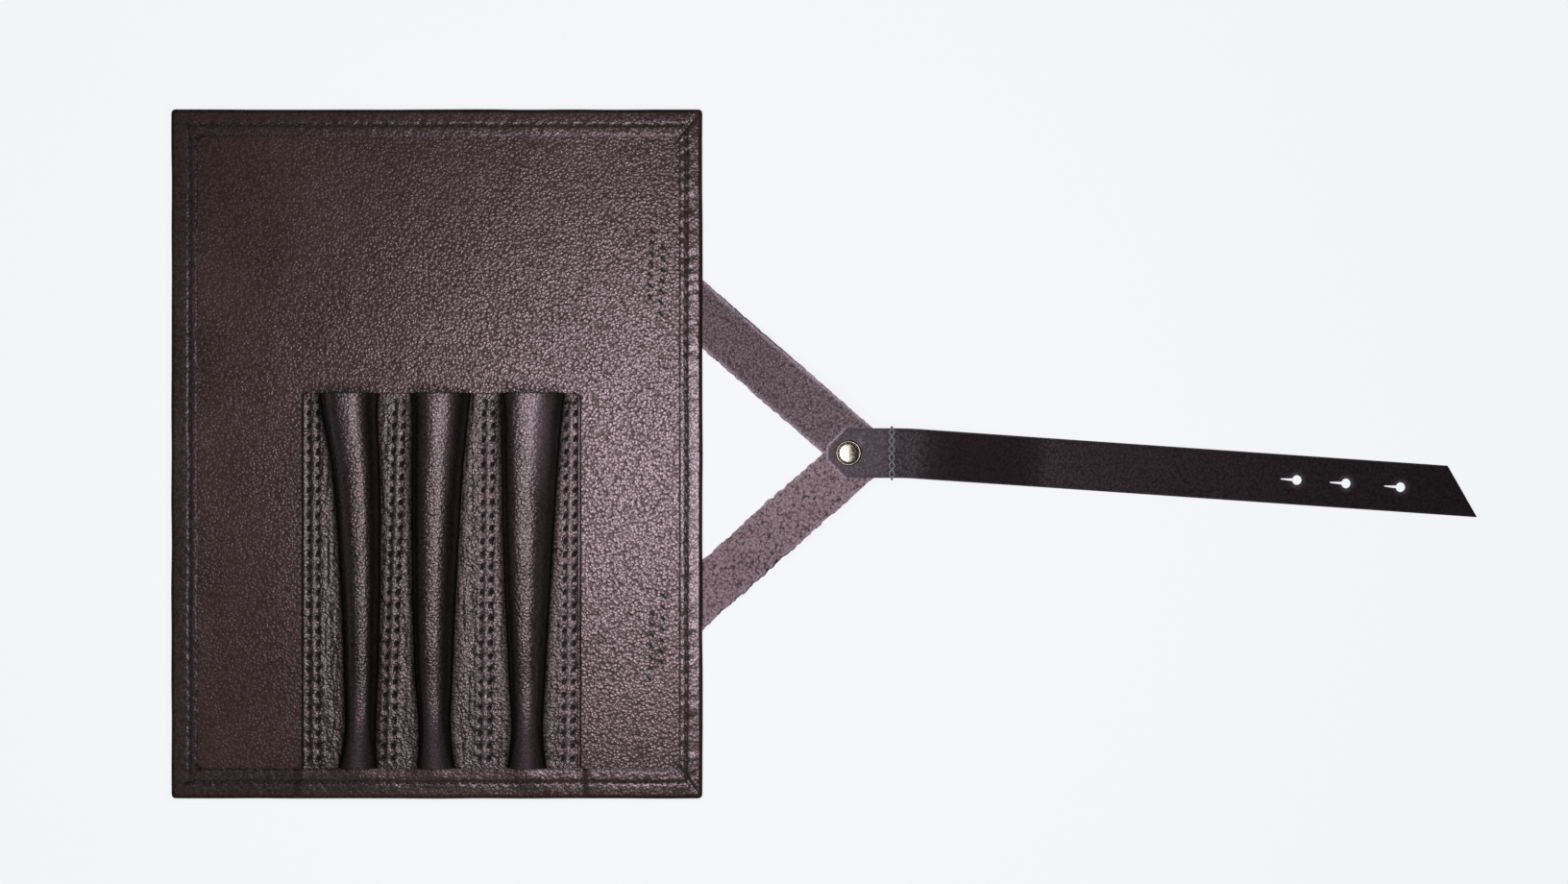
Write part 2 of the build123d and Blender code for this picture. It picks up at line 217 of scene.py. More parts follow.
# Strap, measured along it from its bend: its two pieces meet at the split, and it falls to the floor
STRAP_HEADING = np.radians(-3.95)
STRAP_LENGTH = 179.8
HEAD_CUT = 5.4
SPLIT_AT = 45.0
WRAP_AT = 58.5
BEND_REACH = 20.0
FALL_START = 2.5
FALL_LENGTH = 42.0
TIP_SLANT = 10.3
HOLES = (122.8, 138.2, 155.3)
HOLE_RADIUS = 1.5
SLIT_LENGTH = 3.6
SLIT_HALF = 0.16
CROSS_ROW_X = 142.0

# Lamp: a square, and how bright it looks
LAMP_PLACE = (74.0, -10.0, 330.0)
LAMP_SIZE = 125.0
LAMP_RADIANCE = 19.0

# Camera: millimetres to a pixel, pixels across the picture, the point at its middle, and the distance
PIXEL = 0.3
PICTURE_WIDTH = 1632
PICTURE_MIDDLE = (108.45, 3.75)
CAMERA_DISTANCE = 1500.0


def linear(code):
    """An sRGB hex colour as linear red, green and blue."""
    parts = np.array([int(code[i : i + 2], 16) for i in (1, 3, 5)]) / 255
    return tuple(np.where(parts <= 0.04045, parts / 12.92, ((parts + 0.055) / 1.055) ** 2.4))


def smooth(t):
    """Eased step from 0 to 1: three t squared less two t cubed."""
    t = np.clip(t, 0, 1)
    return t * t * (3 - 2 * t)


def bell(x, width):
    """One at zero, falling off on both sides: e to the minus square of x over the width."""
    return np.exp(-((x / width) ** 2))


def oval(dx, dy, slant, long, wide):
    """One at an oval's middle, falling off like a bell both ways; its slant is in degrees from Y."""
    c, s = np.cos(np.radians(slant)), np.sin(np.radians(slant))
    return bell(dx * s + dy * c, long) * bell(dx * c - dy * s, wide)


def noise(x, y, cell, seed):
    """Value noise from -1 to 1: a fixed height at each corner of a square lattice, eased in between."""
    gx, gy = np.asarray(x, float) / cell, np.asarray(y, float) / cell
    ix, iy = np.floor(gx).astype(np.int64), np.floor(gy).astype(np.int64)
    fx, fy = smooth(gx - ix), smooth(gy - iy)

    def height(a, b):
        mixed = (a * 374761393 + b * 668265263 + seed * 144269504) & 0xFFFFFFFF
        mixed = ((mixed ^ (mixed >> 13)) * 1274126177) & 0xFFFFFFFF
        return (mixed ^ (mixed >> 16)) / 2**31 - 1

    low = (1 - fx) * height(ix, iy) + fx * height(ix + 1, iy)
    high = (1 - fx) * height(ix, iy + 1) + fx * height(ix + 1, iy + 1)
    return (1 - fy) * low + fy * high


def through(at, stations, values):
    """Cubic through the stations: on each span, the four Hermite terms of its end values and slopes."""
    stations, values = np.array(stations, float), np.array(values, float)
    slopes = np.gradient(values, stations)
    i = np.clip(np.searchsorted(stations, at) - 1, 0, len(stations) - 2)
    span = stations[i + 1] - stations[i]
    t = np.clip((at - stations[i]) / span, 0, 1)
    start = (1 + 2 * t) * (1 - t) ** 2 * values[i] + t * (1 - t) ** 2 * span * slopes[i]
    return start + t * t * (3 - 2 * t) * values[i + 1] - t * t * (1 - t) * span * slopes[i + 1]


def spread(breaks, step):
    """Samples from the first break to the last, through every break, no further apart than step."""
    parts = [np.linspace(a, b, max(2, int(np.ceil((b - a) / step)) + 1)) for a, b in zip(breaks, breaks[1:])]
    return np.unique(np.round(np.concatenate(parts), 6))


def stack(x, y, z):
    """Grid of points from three arrays that broadcast together."""
    return np.stack(np.broadcast_arrays(x, y, z), -1).astype(float)


def weld(patches):
    """Points, quads and triangles of grids, with points that round to the same place merged.

    A quad that two merged points shrink, as at a pole, becomes a triangle.
    """
    steps_per_mm = 500
    points, quads, start = [], [], 0
    for patch in patches:
        rows, cols = patch.shape[:2]
        index = np.arange(rows * cols).reshape(rows, cols) + start
        corners = (index[:-1, :-1], index[:-1, 1:], index[1:, 1:], index[1:, :-1])
        quads.append(np.stack(corners, -1).reshape(-1, 4))
        points.append(patch.reshape(-1, 3))
        start += rows * cols
    points, quads = np.vstack(points), np.vstack(quads)
    keys = np.round(points * steps_per_mm).astype(np.int64)
    _, first, inverse = np.unique(keys, axis=0, return_index=True, return_inverse=True)
    quads = inverse.reshape(-1)[quads]
    same = quads == np.roll(quads, -1, axis=1)
    whole = quads[~same.any(axis=1)]
    folded, place = quads[same.sum(axis=1) == 1], same[same.sum(axis=1) == 1].argmax(axis=1)
    turned = np.take_along_axis(folded, (place[:, None] + np.arange(1, 4)) % 4, axis=1)
    return points[first], whole, turned


def make_mesh(name, points, quads, triangles, painted_shade=None, worn=None):
    """Mesh object from arrays, with its open borders sharp so that a cut between two pieces can't be seen.

    Attribute flat keeps each point's place at rest. The other two are 1 where painted shade darkens the
    colour, and where wear or a painted highlight makes it pale.
    """
    mesh = bpy.data.meshes.new(name)
    corners = np.concatenate([quads.reshape(-1), triangles.reshape(-1)]).astype(np.int32)
    totals = np.concatenate([np.full(len(quads), 4), np.full(len(triangles), 3)])
    mesh.vertices.add(len(points))
    mesh.loops.add(len(corners))
    mesh.polygons.add(len(totals))
    mesh.vertices.foreach_set("co", (points * MM).astype(np.float32).ravel())
    mesh.loops.foreach_set("vertex_index", corners)
    mesh.polygons.foreach_set("loop_start", np.concatenate([[0], np.cumsum(totals)[:-1]]).astype(np.int32))
    mesh.polygons.foreach_set("use_smooth", np.ones(len(totals), bool))
    mesh.update(calc_edges=True)
    flat = mesh.attributes.new("flat", "FLOAT_VECTOR", "POINT")
    flat.data.foreach_set("vector", (points * MM).astype(np.float32).ravel())
    for key, values in (("painted_shade", painted_shade), ("worn", worn)):
        if values is not None:
            layer = mesh.attributes.new(key, "FLOAT", "POINT")
            layer.data.foreach_set("value", values.astype(np.float32))
    sides = np.zeros(len(mesh.loops), np.int32)
    mesh.loops.foreach_get("edge_index", sides)
    border = np.bincount(sides, minlength=len(mesh.edges)) == 1
    sharp = mesh.attributes.new("sharp_edge", "BOOLEAN", "EDGE")
    sharp.data.foreach_set("value", border)
    made = bpy.data.objects.new(name, mesh)
    bpy.context.scene.collection.objects.link(made)
    return made


def sheet_object(name, patches, finish, wall, painted_shade=None, worn=None):
    """Sheet of leather: its outer surface from grids, with a wall on the side away from the normals."""
    points, quads, triangles = weld(patches)
    made = make_mesh(name, points, quads, triangles, painted_shade and painted_shade(points), worn and worn(points))
    made.data.materials.append(material(finish))
    made.data.materials.append(material(dyed_cut_edge))
    thickness = made.modifiers.new("thickness", "SOLIDIFY")
    thickness.thickness = wall * MM
    thickness.offset = -1
    thickness.use_rim = True
    thickness.material_offset_rim = 1
    return made


def seam_x(seam, y):
    """X of a seam's middle line at height y."""
    top, foot = SEAMS[seam]
    return foot + (top - foot) * (y - SEAM_FOOT_Y) / (SEAM_TOP_Y - SEAM_FOOT_Y)


def bend(made, first, second, fold, reach):
    """Bake a piece's place into its mesh. The two bodies, the fold and the reach are not used."""
    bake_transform(made)


def hem(side):
    """Width of the turned-over hem on one side."""
    return getattr(bpy.context.scene.pen_case_sizes, f"hem_{side}") / MM


def hem_widths():
    """Widths of the hem on its four sides, in their order."""
    return np.array([hem(side) for side in SIDES])


def bottom_hem_y():
    """Y of the bottom hem's inner edge."""
    return -HALF_H + hem("bottom")


def nearest_side(x, y):
    """The side whose hem each point is in, its distance from that edge, and its share of each hem's width."""
    inset = np.stack([x + HALF_W, HALF_W - x, y + HALF_H, HALF_H - y], -1)
    share = inset / hem_widths()
    side = share.argmin(-1)
    return side, np.take_along_axis(inset, side[..., None], -1)[..., 0], share


def hem_stitch_places():
    """Middle points and directions of the hem's stitches, spaced evenly along each of the four rows."""
    left, right, bottom, top = ROW_INSETS
    x0, x1, y0, y1 = -HALF_W + left, HALF_W - right, -HALF_H + bottom, HALF_H - top
    corners = ((x0, y0), (x1, y0), (x1, y1), (x0, y1), (x0, y0))
    places, turns = [], []
    for side, (ax, ay), (bx, by) in zip(("bottom", "right", "top", "left"), corners, corners[1:]):
        length = np.hypot(bx - ax, by - ay)
        count = int(round(length / ROW_PITCHES[SIDES.index(side)]))
        t = (np.arange(count) + 0.5) / count
        places.append(np.stack([ax + (bx - ax) * t, ay + (by - ay) * t], -1))
        turns.append(np.full(count, np.degrees(np.arctan2(by - ay, bx - ax))))
    return np.vstack(places), np.concatenate(turns)


def raised(x, y):
    """How far the pocket sheet lifts the bottom hem: a step over the sheet, and a bell over each tunnel."""
    over = smooth((x - POCKET_LEFT + 2.2) / 1.8) * smooth((POCKET_RIGHT + 2.2 - x) / 1.8)
    lift = (RAISED_HEM_Z - HEM_Z) * over
    for stations in TUNNELS.values():
        foot_x = stations[-1][1]
        lift = lift + 0.35 * bell(x - foot_x, 4.6) * smooth((y + HALF_H - 2.5) / 5)
    return lift * smooth((-HALF_H + 16 - y) / 4)


def hem_relief(x, y):
    """Height of the hem over its flat: a soft crown, a groove along the stitches, puckers and mitred corners.

    The crown is a sine across the hem, the puckers a slanted cosine along the row, the rest noise and bells.
    """
    side, d, share = nearest_side(x, y)
    width = hem_widths()[side]
    along = np.where(side < 2, y, x)
    off = d - ROW_INSETS[side]
    sunk = GROOVE_DEPTHS[side]
    crown = 0.15 * np.sin(np.pi * np.clip(d / width, 0, 1)) ** 0.7
    groove = -sunk * bell(off - 0.22 * noise(along, side * 31.0, 9.0, 5), 0.62)
    pucker = sunk * 0.33 * np.cos(2 * np.pi * (along + 0.55 * off) / ROW_PITCHES[side]) * bell(off, 2.5)
    creases = CREASE_DEPTHS[side] * noise(along, off * 0.3 + 40 * side, 1.6, 11) * smooth(d / 2)
    broad = 0.12 * noise(along, off, 11.0, 12)
    ordered = np.sort(share, -1)
    mitre = -0.4 * bell(ordered[..., 1] - ordered[..., 0], 0.055) * smooth(d / 1.5)
    end = np.where(width - d < 0.35, -0.4 * sunk, 0.0)
    return crown + groove + pucker + creases + broad + mitre + end + raised(x, y)


def ring(columns, rows, inset, share, radius):
    """Points round a rectangle, one for each border point of the plate, anticlockwise from the bottom left.

    The rectangle is inset from the panel's edge, then drawn on by a share of the way to the hem's inner edge.
    A corner point is drawn in to a quarter circle: its offset from the circle's middle, scaled to the radius.
    """
    gaps = inset + (hem_widths() - inset) * share
    x0, x1, y0, y1 = -HALF_W + gaps[0], HALF_W - gaps[1], -HALF_H + gaps[2], HALF_H - gaps[3]
    u = (columns - columns[0]) / (columns[-1] - columns[0])
    v = (rows - rows[0]) / (rows[-1] - rows[0])
    x = np.concatenate([u, np.ones(len(v) - 2), u[::-1], np.zeros(len(v) - 2)]) * (x1 - x0) + x0
    y = np.concatenate([np.zeros(len(u)), v[1:-1], np.ones(len(u)), v[1:-1][::-1]]) * (y1 - y0) + y0
    if radius:
        dx = np.sign(x) * np.maximum(np.abs(x - (x0 + x1) / 2) - (x1 - x0) / 2 + radius, 0)
        dy = np.sign(y) * np.maximum(np.abs(y - (y0 + y1) / 2) - (y1 - y0) / 2 + radius, 0)
        far = np.maximum(np.hypot(dx, dy), 1e-9)
        keep = np.where((dx != 0) & (dy != 0), np.minimum(1, radius / far), 1)
        x, y = x - dx * (1 - keep), y - dy * (1 - keep)
    return x, y


def cover_rings(columns, rows):
    """The outer leather's border as rings of points, from its back round the edge to the hem's inner edge.

    A ring has an inset, a share of the way across the hem, a level, whether it has relief, and a radius.
    """
    roll, corner = EDGE_ROLL, PANEL_CORNER
    quarter = np.radians([0, 25, 50, 70, 90])
    back = [(roll - roll * np.sin(a), 0, roll - roll * np.cos(a), 0, corner) for a in quarter]
    top = [(roll - roll * np.cos(a), 0, HEM_Z - roll + roll * np.sin(a), 1, corner) for a in quarter]
    across = [(roll, s, HEM_Z, 1, corner + 0.7 * s) for s in np.linspace(0, 1, 25)[1:]]
    rings = []
    for inset, share, z, lift, radius in [(PLATE_EDGE, 0, 0, 0, PLATE_CORNER)] + back + top + across:
        x, y = ring(columns, rows, inset, share, radius)
        wave = 0.1 * noise(x, y, 14.0, 21) * (1 if inset < roll + 0.01 and share == 0 else 0)
        height = z + lift * hem_relief(x, y) * (1 if share else smooth((z - HEM_Z + roll) / roll))
        rings.append(stack(x + wave * np.sign(x), y + wave * np.sign(y), height))
    return np.array(rings)


def plate_samples():
    """Columns and rows of the panel's grids, through every cut."""
    columns = spread([-HALF_W + PLATE_EDGE, *CUTS, HALF_W - PLATE_EDGE], GRAIN_STEP)
    return columns, spread([-HALF_H + PLATE_EDGE, 0.0, HALF_H - PLATE_EDGE], GRAIN_STEP)


def span(columns, index):
    """First and last column of one of the four pieces that a sheet is cut into."""
    limits = [columns[0], *CUTS, columns[-1]]
    first = int(np.abs(columns - limits[index]).argmin())
    return first, int(np.abs(columns - limits[index + 1]).argmin())


def material(finish):
    """The material that a finish makes, named like the finish and made once."""
    return bpy.data.materials.get(finish.__name__) or finish(finish.__name__)


def add(tree, kind, settings=None, inputs=()):
    """Add a shader node, set its properties, and give its inputs values, sockets or nodes' first outputs."""
    made = tree.nodes.new("ShaderNode" + kind)
    for key, value in (settings or {}).items():
        setattr(made, key, value)
    for key, value in inputs.items() if isinstance(inputs, dict) else enumerate(inputs):
        if isinstance(value, bpy.types.Node):
            value = value.outputs[0]
        if isinstance(value, bpy.types.NodeSocket):
            tree.links.new(value, made.inputs[key])
        else:
            made.inputs[key].default_value = value
    return made


def blank_material(name):
    """New material without nodes, and its tree."""
    made = bpy.data.materials.new(name)
    made.use_nodes = True
    made.node_tree.nodes.clear()
    return made, made.node_tree


def shade(tree, factor, low, high, start, end):
    """Colour that goes from one hex colour to another as the factor goes from start to end."""
    share = add(tree, "MapRange", inputs=(factor, start, end))
    colours = {0: share, 6: (*linear(low), 1), 7: (*linear(high), 1)}
    return add(tree, "Mix", {"data_type": "RGBA"}, colours).outputs[2]


def leather(name, low, high, pebble, depth, fine, rough, gloss, tint, mottle=0.6, glint=0.3, points=0.8):
    """Dyed leather: rounded even pebbles, finer pores, soft colour clouds, painted shade, wear and painted
    highlights.

    Pebble and depth are the grain's width and height in millimetres, fine is the pores' part of the height.
    The height is one less the powered distance to the nearest pebble's middle, plus fine and broad noise.
    Mottle and glint say how far the clouds and the pebbles' tops take the colour from low to high.
    The gloss is strongest on those tops, which handling polishes, and points says by how much.
    """
    plus, plus_held = {"operation": "MULTIPLY_ADD"}, {"operation": "MULTIPLY_ADD", "use_clamp": True}
    times, power = {"operation": "MULTIPLY"}, {"operation": "POWER"}
    made, tree = blank_material(name)
    rest = add(tree, "Attribute", {"attribute_name": "flat"}).outputs["Vector"]
    painted_shade = add(tree, "Attribute", {"attribute_name": "painted_shade"}).outputs["Fac"]
    worn = add(tree, "Attribute", {"attribute_name": "worn"}).outputs["Fac"]

    stir = add(tree, "TexNoise", inputs={"Vector": rest, "Scale": 1 / (pebble * 2.4 * MM), "Detail": 2.0})
    stir = add(tree, "VectorMath", {"operation": "SUBTRACT"}, (stir.outputs["Color"], (0.5, 0.5, 0.5)))
    moved = add(tree, "VectorMath", plus, (stir, (pebble * 0.6 * MM,) * 3, rest))
    cells = add(tree, "TexVoronoi", {"feature": "F1"}, {"Vector": moved, "Scale": 1 / (pebble * MM)})
    dip = add(tree, "Math", power, (cells.outputs["Distance"], 1.5))
    dome = add(tree, "Math", {"operation": "SUBTRACT", "use_clamp": True}, (1.0, dip))
    pores = add(tree, "TexNoise", inputs={"Vector": rest, "Scale": 1 / (pebble * 0.55 * MM), "Detail": 2.0})
    rolls = add(tree, "TexNoise", inputs={"Vector": rest, "Scale": 1 / (6 * MM), "Detail": 2.0})
    height = add(tree, "Math", plus, (pores, fine, dome))
    height = add(tree, "Math", plus, (rolls, 1.2, height))
    bump = add(tree, "Bump", inputs={"Height": height, "Distance": depth * MM, "Strength": 1.0})

    clouds = add(tree, "TexNoise", inputs={"Vector": rest, "Scale": 1 / (30 * MM), "Detail": 4.0})
    blotch = add(tree, "Math", times, (clouds, mottle))
    tops = add(tree, "Math", times, (dome, pores))
    blotch = add(tree, "Math", plus, (tops, glint * 2, blotch))
    colour = shade(tree, blotch, low, high, 0.2, 0.8)
    # Pale pink where the attribute of pale places is high: wear on the arms and the strap, and painted
    # highlights on the strap, the hem and the pocket sheet
    patchy = add(tree, "Math", plus_held, (pores, 2.6, -0.7))
    patchy = add(tree, "Math", times, (worn, patchy))
    worn_and_highlit = add(tree, "Mix", {"data_type": "RGBA"}, {0: patchy, 6: colour, 7: (*linear("#a892a0"), 1)})
    # Painted shade: the colour goes to near black where the attribute of dark places is high, and the gloss
    # drops
    dark = {0: painted_shade, 6: worn_and_highlit.outputs[2], 7: (*linear("#0a0605"), 1)}
    dark = add(tree, "Mix", {"data_type": "RGBA"}, dark).outputs[2]

    gleam = add(tree, "Math", plus, (pores, 0.16, rough - 0.08))
    gleam = add(tree, "Math", plus_held, (painted_shade, 0.1, gleam))
    crest = add(tree, "Math", power, (dome, 3.0))
    peaks = add(tree, "Math", plus_held, (crest, 1.8 * points * gloss, (1.0 - 0.5 * points) * gloss))
    open_face = add(tree, "Math", plus_held, (painted_shade, -0.85, 1.0))
    mirror = add(tree, "Math", times, (peaks, open_face))
    face = {"Base Color": dark, "Roughness": gleam, "Normal": bump, "IOR": 1.5, "Specular IOR Level": mirror}
    shader = add(tree, "BsdfPrincipled", inputs={**face, "Specular Tint": (*linear(tint), 1)})
    add(tree, "OutputMaterial", {"is_active_output": True}, (shader,))
    return made


def full_grain_calf(name):
    """Dyed calf, full grain, satin: a fine even pebble, which catches the lamp as small bright points."""
    grain = dict(pebble=0.9, depth=0.095, fine=0.6, mottle=0.8, glint=0.12, points=1.2)
    return leather(name, "#2e201e", "#463532", rough=0.27, gloss=0.38, tint="#fae0ee", **grain)


def turned_calf(name):
    """The same dyed calf, thinned and turned over, so its grain is a little stretched and flatter."""
    grain = dict(pebble=0.9, depth=0.065, fine=0.6)
    return leather(name, "#281d1a", "#3c2f2b", rough=0.28, gloss=0.48, tint="#fae0ee", **grain)


def wet_moulded_calf(name):
    """Dyed calf, moulded wet over a former and boned smooth: nearly black, with silky highlights."""
    grain = dict(pebble=0.9, depth=0.14, fine=0.9, points=0.5)
    return leather(name, "#0c0606", "#221817", rough=0.34, gloss=0.72, tint="#fae2e8", **grain)


def burnished_bridle(name):
    """Black-brown bridle leather, burnished and waxed: nearly smooth, with faint pores."""
    grain = dict(pebble=0.8, depth=0.03, fine=1.0)
    return leather(name, "#1b1516", "#282123", rough=0.47, gloss=0.18, tint="#fae8f6", **grain)


def flesh_side_hide(name):
    """Flesh side of a brown hide: matt, with short tufts of paler fibre, each under a millimetre wide."""
    grain = dict(pebble=0.8, depth=0.22, fine=1.4, mottle=0.3, glint=0.45)
    return leather(name, "#2e2425", "#6c5b60", rough=0.44, gloss=0.7, tint="#fae4ee", **grain)


def coarse_flesh_side(name):
    """Flesh side cut nearer the belly: the same hide with coarser, paler and shinier tufts."""
    grain = dict(pebble=1.0, depth=0.55, fine=1.8, mottle=0.25, glint=0.75, points=1.1)
    return leather(name, "#2e2122", "#a3888f", rough=0.34, gloss=1.3, tint="#fae4ee", **grain)


def dyed_cut_edge(name):
    """Cut edge of leather, dyed dark and rubbed: layered fibres half a millimetre apart."""
    made, tree = blank_material(name)
    rest = add(tree, "Attribute", {"attribute_name": "flat"}).outputs["Vector"]
    fibre = add(tree, "TexNoise", inputs={"Vector": rest, "Scale": 1 / (0.5 * MM), "Detail": 4.0})
    colour = shade(tree, fibre, "#140e0d", "#2e2422", 0.3, 0.75)
    bump = add(tree, "Bump", inputs={"Height": fibre, "Distance": 0.08 * MM})
    shader = add(tree, "BsdfPrincipled", inputs={"Base Color": colour, "Normal": bump, "Roughness": 0.6})
    add(tree, "OutputMaterial", {"is_active_output": True}, (shader,))
    return made


def twisted_thread(name, low, high, rough):
    """Waxed linen thread: two plies twisted together, dyed; the wave across the thread is the twist."""
    made, tree = blank_material(name)
    rest = add(tree, "Attribute", {"attribute_name": "flat"}).outputs["Vector"]
    twist = add(tree, "Mapping", inputs={0: rest, "Rotation": (0, 0, 0.8)})
    plies = add(tree, "TexWave", inputs={"Vector": twist, "Scale": 1 / (1.9 * MM), "Distortion": 0.6})
    plies = plies.outputs["Fac"]
    colour = shade(tree, plies, low, high, 0.1, 0.9)
    bump = add(tree, "Bump", inputs={"Height": plies, "Distance": 0.06 * MM})
    shader = add(tree, "BsdfPrincipled", inputs={"Base Color": colour, "Normal": bump, "Roughness": rough})
    add(tree, "OutputMaterial", {"is_active_output": True}, (shader,))
    return made


def brown_linen_thread(name):
    """Dark brown waxed thread, nearly the leather's colour."""
    return twisted_thread(name, "#140f0e", "#2c2221", 0.62)


def sunk_linen_thread(name):
    """The same thread, painted almost black: painted shade of the holes it is pulled down into."""
    return twisted_thread(name, "#080506", "#1a1315", 0.6)


def grey_linen_thread(name):
    """Grey waxed thread, rubbed pale."""
    return twisted_thread(name, "#3c383a", "#8d878b", 0.5)


def polished_brass(name):
    """Turned brass, bronzed and polished: cloudy colour and a little uneven gloss from handling."""
    made, tree = blank_material(name)
    where = add(tree, "TexCoord").outputs["Object"]
    marks = add(tree, "TexNoise", inputs={"Vector": where, "Scale": 1 / (0.7 * MM), "Detail": 4.0})
    colour = shade(tree, marks, "#46403a", "#68605a", 0.25, 0.75)
    rough = add(tree, "Math", {"operation": "MULTIPLY_ADD"}, (marks, 0.16, 0.1))
    bump = add(tree, "Bump", inputs={"Height": marks, "Distance": 0.012 * MM})
    face = {"Base Color": colour, "Roughness": rough, "Normal": bump, "Metallic": 1.0}
    shader = add(tree, "BsdfPrincipled", inputs=face)
    add(tree, "OutputMaterial", {"is_active_output": True}, (shader,))
    return made


def bonded_board(name):
    """Bonded leather board: pressed brown fibres."""
    made, tree = blank_material(name)
    where = add(tree, "TexCoord").outputs["Object"]
    fibre = add(tree, "TexNoise", inputs={"Vector": where, "Scale": 1 / (0.8 * MM), "Detail": 5.0})
    colour = shade(tree, fibre, "#6b533c", "#9a7d5f", 0.3, 0.7)
    shader = add(tree, "BsdfPrincipled", inputs={"Base Color": colour, "Roughness": 0.85})
    add(tree, "OutputMaterial", {"is_active_output": True}, (shader,))
    return made


class CaseSizes(PropertyGroup):
    """Sizes that a maker of the case would change."""

    hem_left: FloatProperty(
        name="Left hem", description="Width of the left hem", default=0.0084, unit="LENGTH"
    )
    hem_right: FloatProperty(
        name="Right hem", description="Width of the right hem", default=0.0074, unit="LENGTH"
    )
    hem_top: FloatProperty(
        name="Top hem", description="Width of the top hem", default=0.0087, unit="LENGTH"
    )
    hem_bottom: FloatProperty(
        name="Bottom hem", description="Width of the bottom hem", default=0.0096, unit="LENGTH"
    )
    thread: FloatProperty(
        name="Thread", description="Thickness of the sewing thread", default=0.0007, unit="LENGTH"
    )


class CaseColours(PropertyGroup):
    """Colours of what the case stands on."""

    floor: FloatVectorProperty(
        name="Floor",
        description="Colour of the floor and background",
        subtype="COLOR",
        default=linear("#f6f7f9"),
    )


class MakeCover(Operator):
    """Outer leather with its rolled edge and turned-over hem, in four pieces cut between the folds"""

    bl_idname = "pen_case.cover"
    bl_label = "Cover"

    def execute(self, context):
        columns, rows = plate_samples()
        rings = cover_rings(columns, rows)
        plate = stack(*np.meshgrid(columns, rows), 0.0)
        wide, tall = len(columns), len(rows)
        left = np.arange(2 * wide + tall - 2, 2 * (wide + tall - 2))
        right = np.arange(wide, wide + tall - 2)
        for index, nodes in enumerate(SECTION_NODES):
            a, b = span(columns, index)
            bottom = np.arange(a, b + 1)
            top = wide + tall - 2 + (wide - 1 - np.arange(b, a - 1, -1))
            runs = [bottom, top]
            if a == 0:
                runs = [np.concatenate([top, left, bottom])]
            if b == wide - 1:
                runs = [np.concatenate([bottom, right, top])]
            back = fit_plate(plate[:, a : b + 1].copy(), rings[0], wide, a, b)
            patches = [back] + [rings[:, run] for run in runs]
            name = f"cover_{nodes[-1]}_leather"
            made = sheet_object(name, patches, turned_calf, COVER_WALL, hem_pits, hem_rubs)
            place_section(made, index, "cover")
        return {"FINISHED"}


def place_section(made, index, kind):
    """Bake one of a sheet's four pieces in place, and let it stand for the nodes of that kind there."""
    bend(made, *BENDS[index])
    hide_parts(*[f"{kind}_{node}" for node in SECTION_NODES[index]])


def fit_plate(grid, border, wide, a, b):
    """Back plate of one piece, facing down, with its outer points moved to the first ring's."""
    tall = len(grid)
    grid[0] = border[a : b + 1]
    grid[-1] = border[wide + tall - 2 : 2 * wide + tall - 2][::-1][a : b + 1]
    if a == 0:
        grid[1:-1, 0] = border[2 * wide + tall - 2 :][::-1]
    if b == wide - 1:
        grid[1:-1, -1] = border[wide : wide + tall - 2]
    return grid[:, ::-1]


def hem_pits(points):
    """Painted shade in the hem's stitch groove, a bell, and in bands along both its edges."""
    dark = np.zeros(len(points))
    front = points[:, 2] > LINING_Z
    side, d, _ = nearest_side(points[front, 0], points[front, 1])
    # Painted shade: a bell in the stitch groove, a band along the inner edge and a band along the rolled
    # outer edge
    groove = 0.62 * bell(d - ROW_INSETS[side], 0.6)
    inner = INNER_EDGE_SHADE[side] * smooth((d - hem_widths()[side] + 0.9) / 0.5)
    dark[front] = np.maximum(groove, np.maximum(inner, 0.8 * smooth((1.1 - d) / 0.5)))
    return dark


def hem_rubs(points):
    """Painted highlight: a pale line just inside the right hem's turned edge, strongest below the middle: a
    bell each way.
    """
    x, y, z = points.T
    return 0.6 * bell(HALF_W - x - 1.5, 0.3) * bell(y + 38, 38) * (z > LINING_Z)


def arm_row_places(slope):
    """Middles of the stitches that hold the tail of the arm with that slope: two short rows."""
    places = []
    for x, shift in ARM_ROWS:
        middle = MIDDLE_Y - np.sign(slope) * ((JUNCTION_X - x) * np.tan(np.radians(abs(slope))) + shift)
        y = middle + (np.arange(ARM_ROW_COUNT) - (ARM_ROW_COUNT - 1) / 2) * ARM_ROW_PITCH
        places.append(np.stack([x + ARM_ROW_LEAN * (y - middle), y], -1))
    return np.vstack(places)


def lining_pits(points):
    """Painted shade round the stitches of the arms' tails, which are drawn down into the lining: slanted
    ovals.
    """
    places = np.vstack([arm_row_places(slope) for slope, _, _ in ARMS.values()])
    away = points[:, None, :2] - places
    return 0.85 * oval(away[..., 0], away[..., 1], -ARM_STITCH[1], 1.1, 0.55).max(-1)


class MakeLining(Operator):
    """Lining leather inside the hem, in four pieces cut between the folds"""

    bl_idname = "pen_case.lining"
    bl_label = "Lining"

    def execute(self, context):
        columns, rows = plate_samples()
        for index, nodes in enumerate(SECTION_NODES):
            a, b = span(columns, index)
            x, y = np.meshgrid(columns[a : b + 1], rows)
            swell = 0.07 * noise(x, y, 23.0, 31) + 0.03 * noise(x, y, 9.0, 32)
            grid = stack(x, y, LINING_Z + swell * smooth((HALF_W - 8 - np.abs(x)) / 6))
            name = f"lining_{nodes[-1]}_leather"
            made = sheet_object(name, [grid], full_grain_calf, LINING_WALL, lining_pits)
            place_section(made, index, "lining")
        return {"FINISHED"}


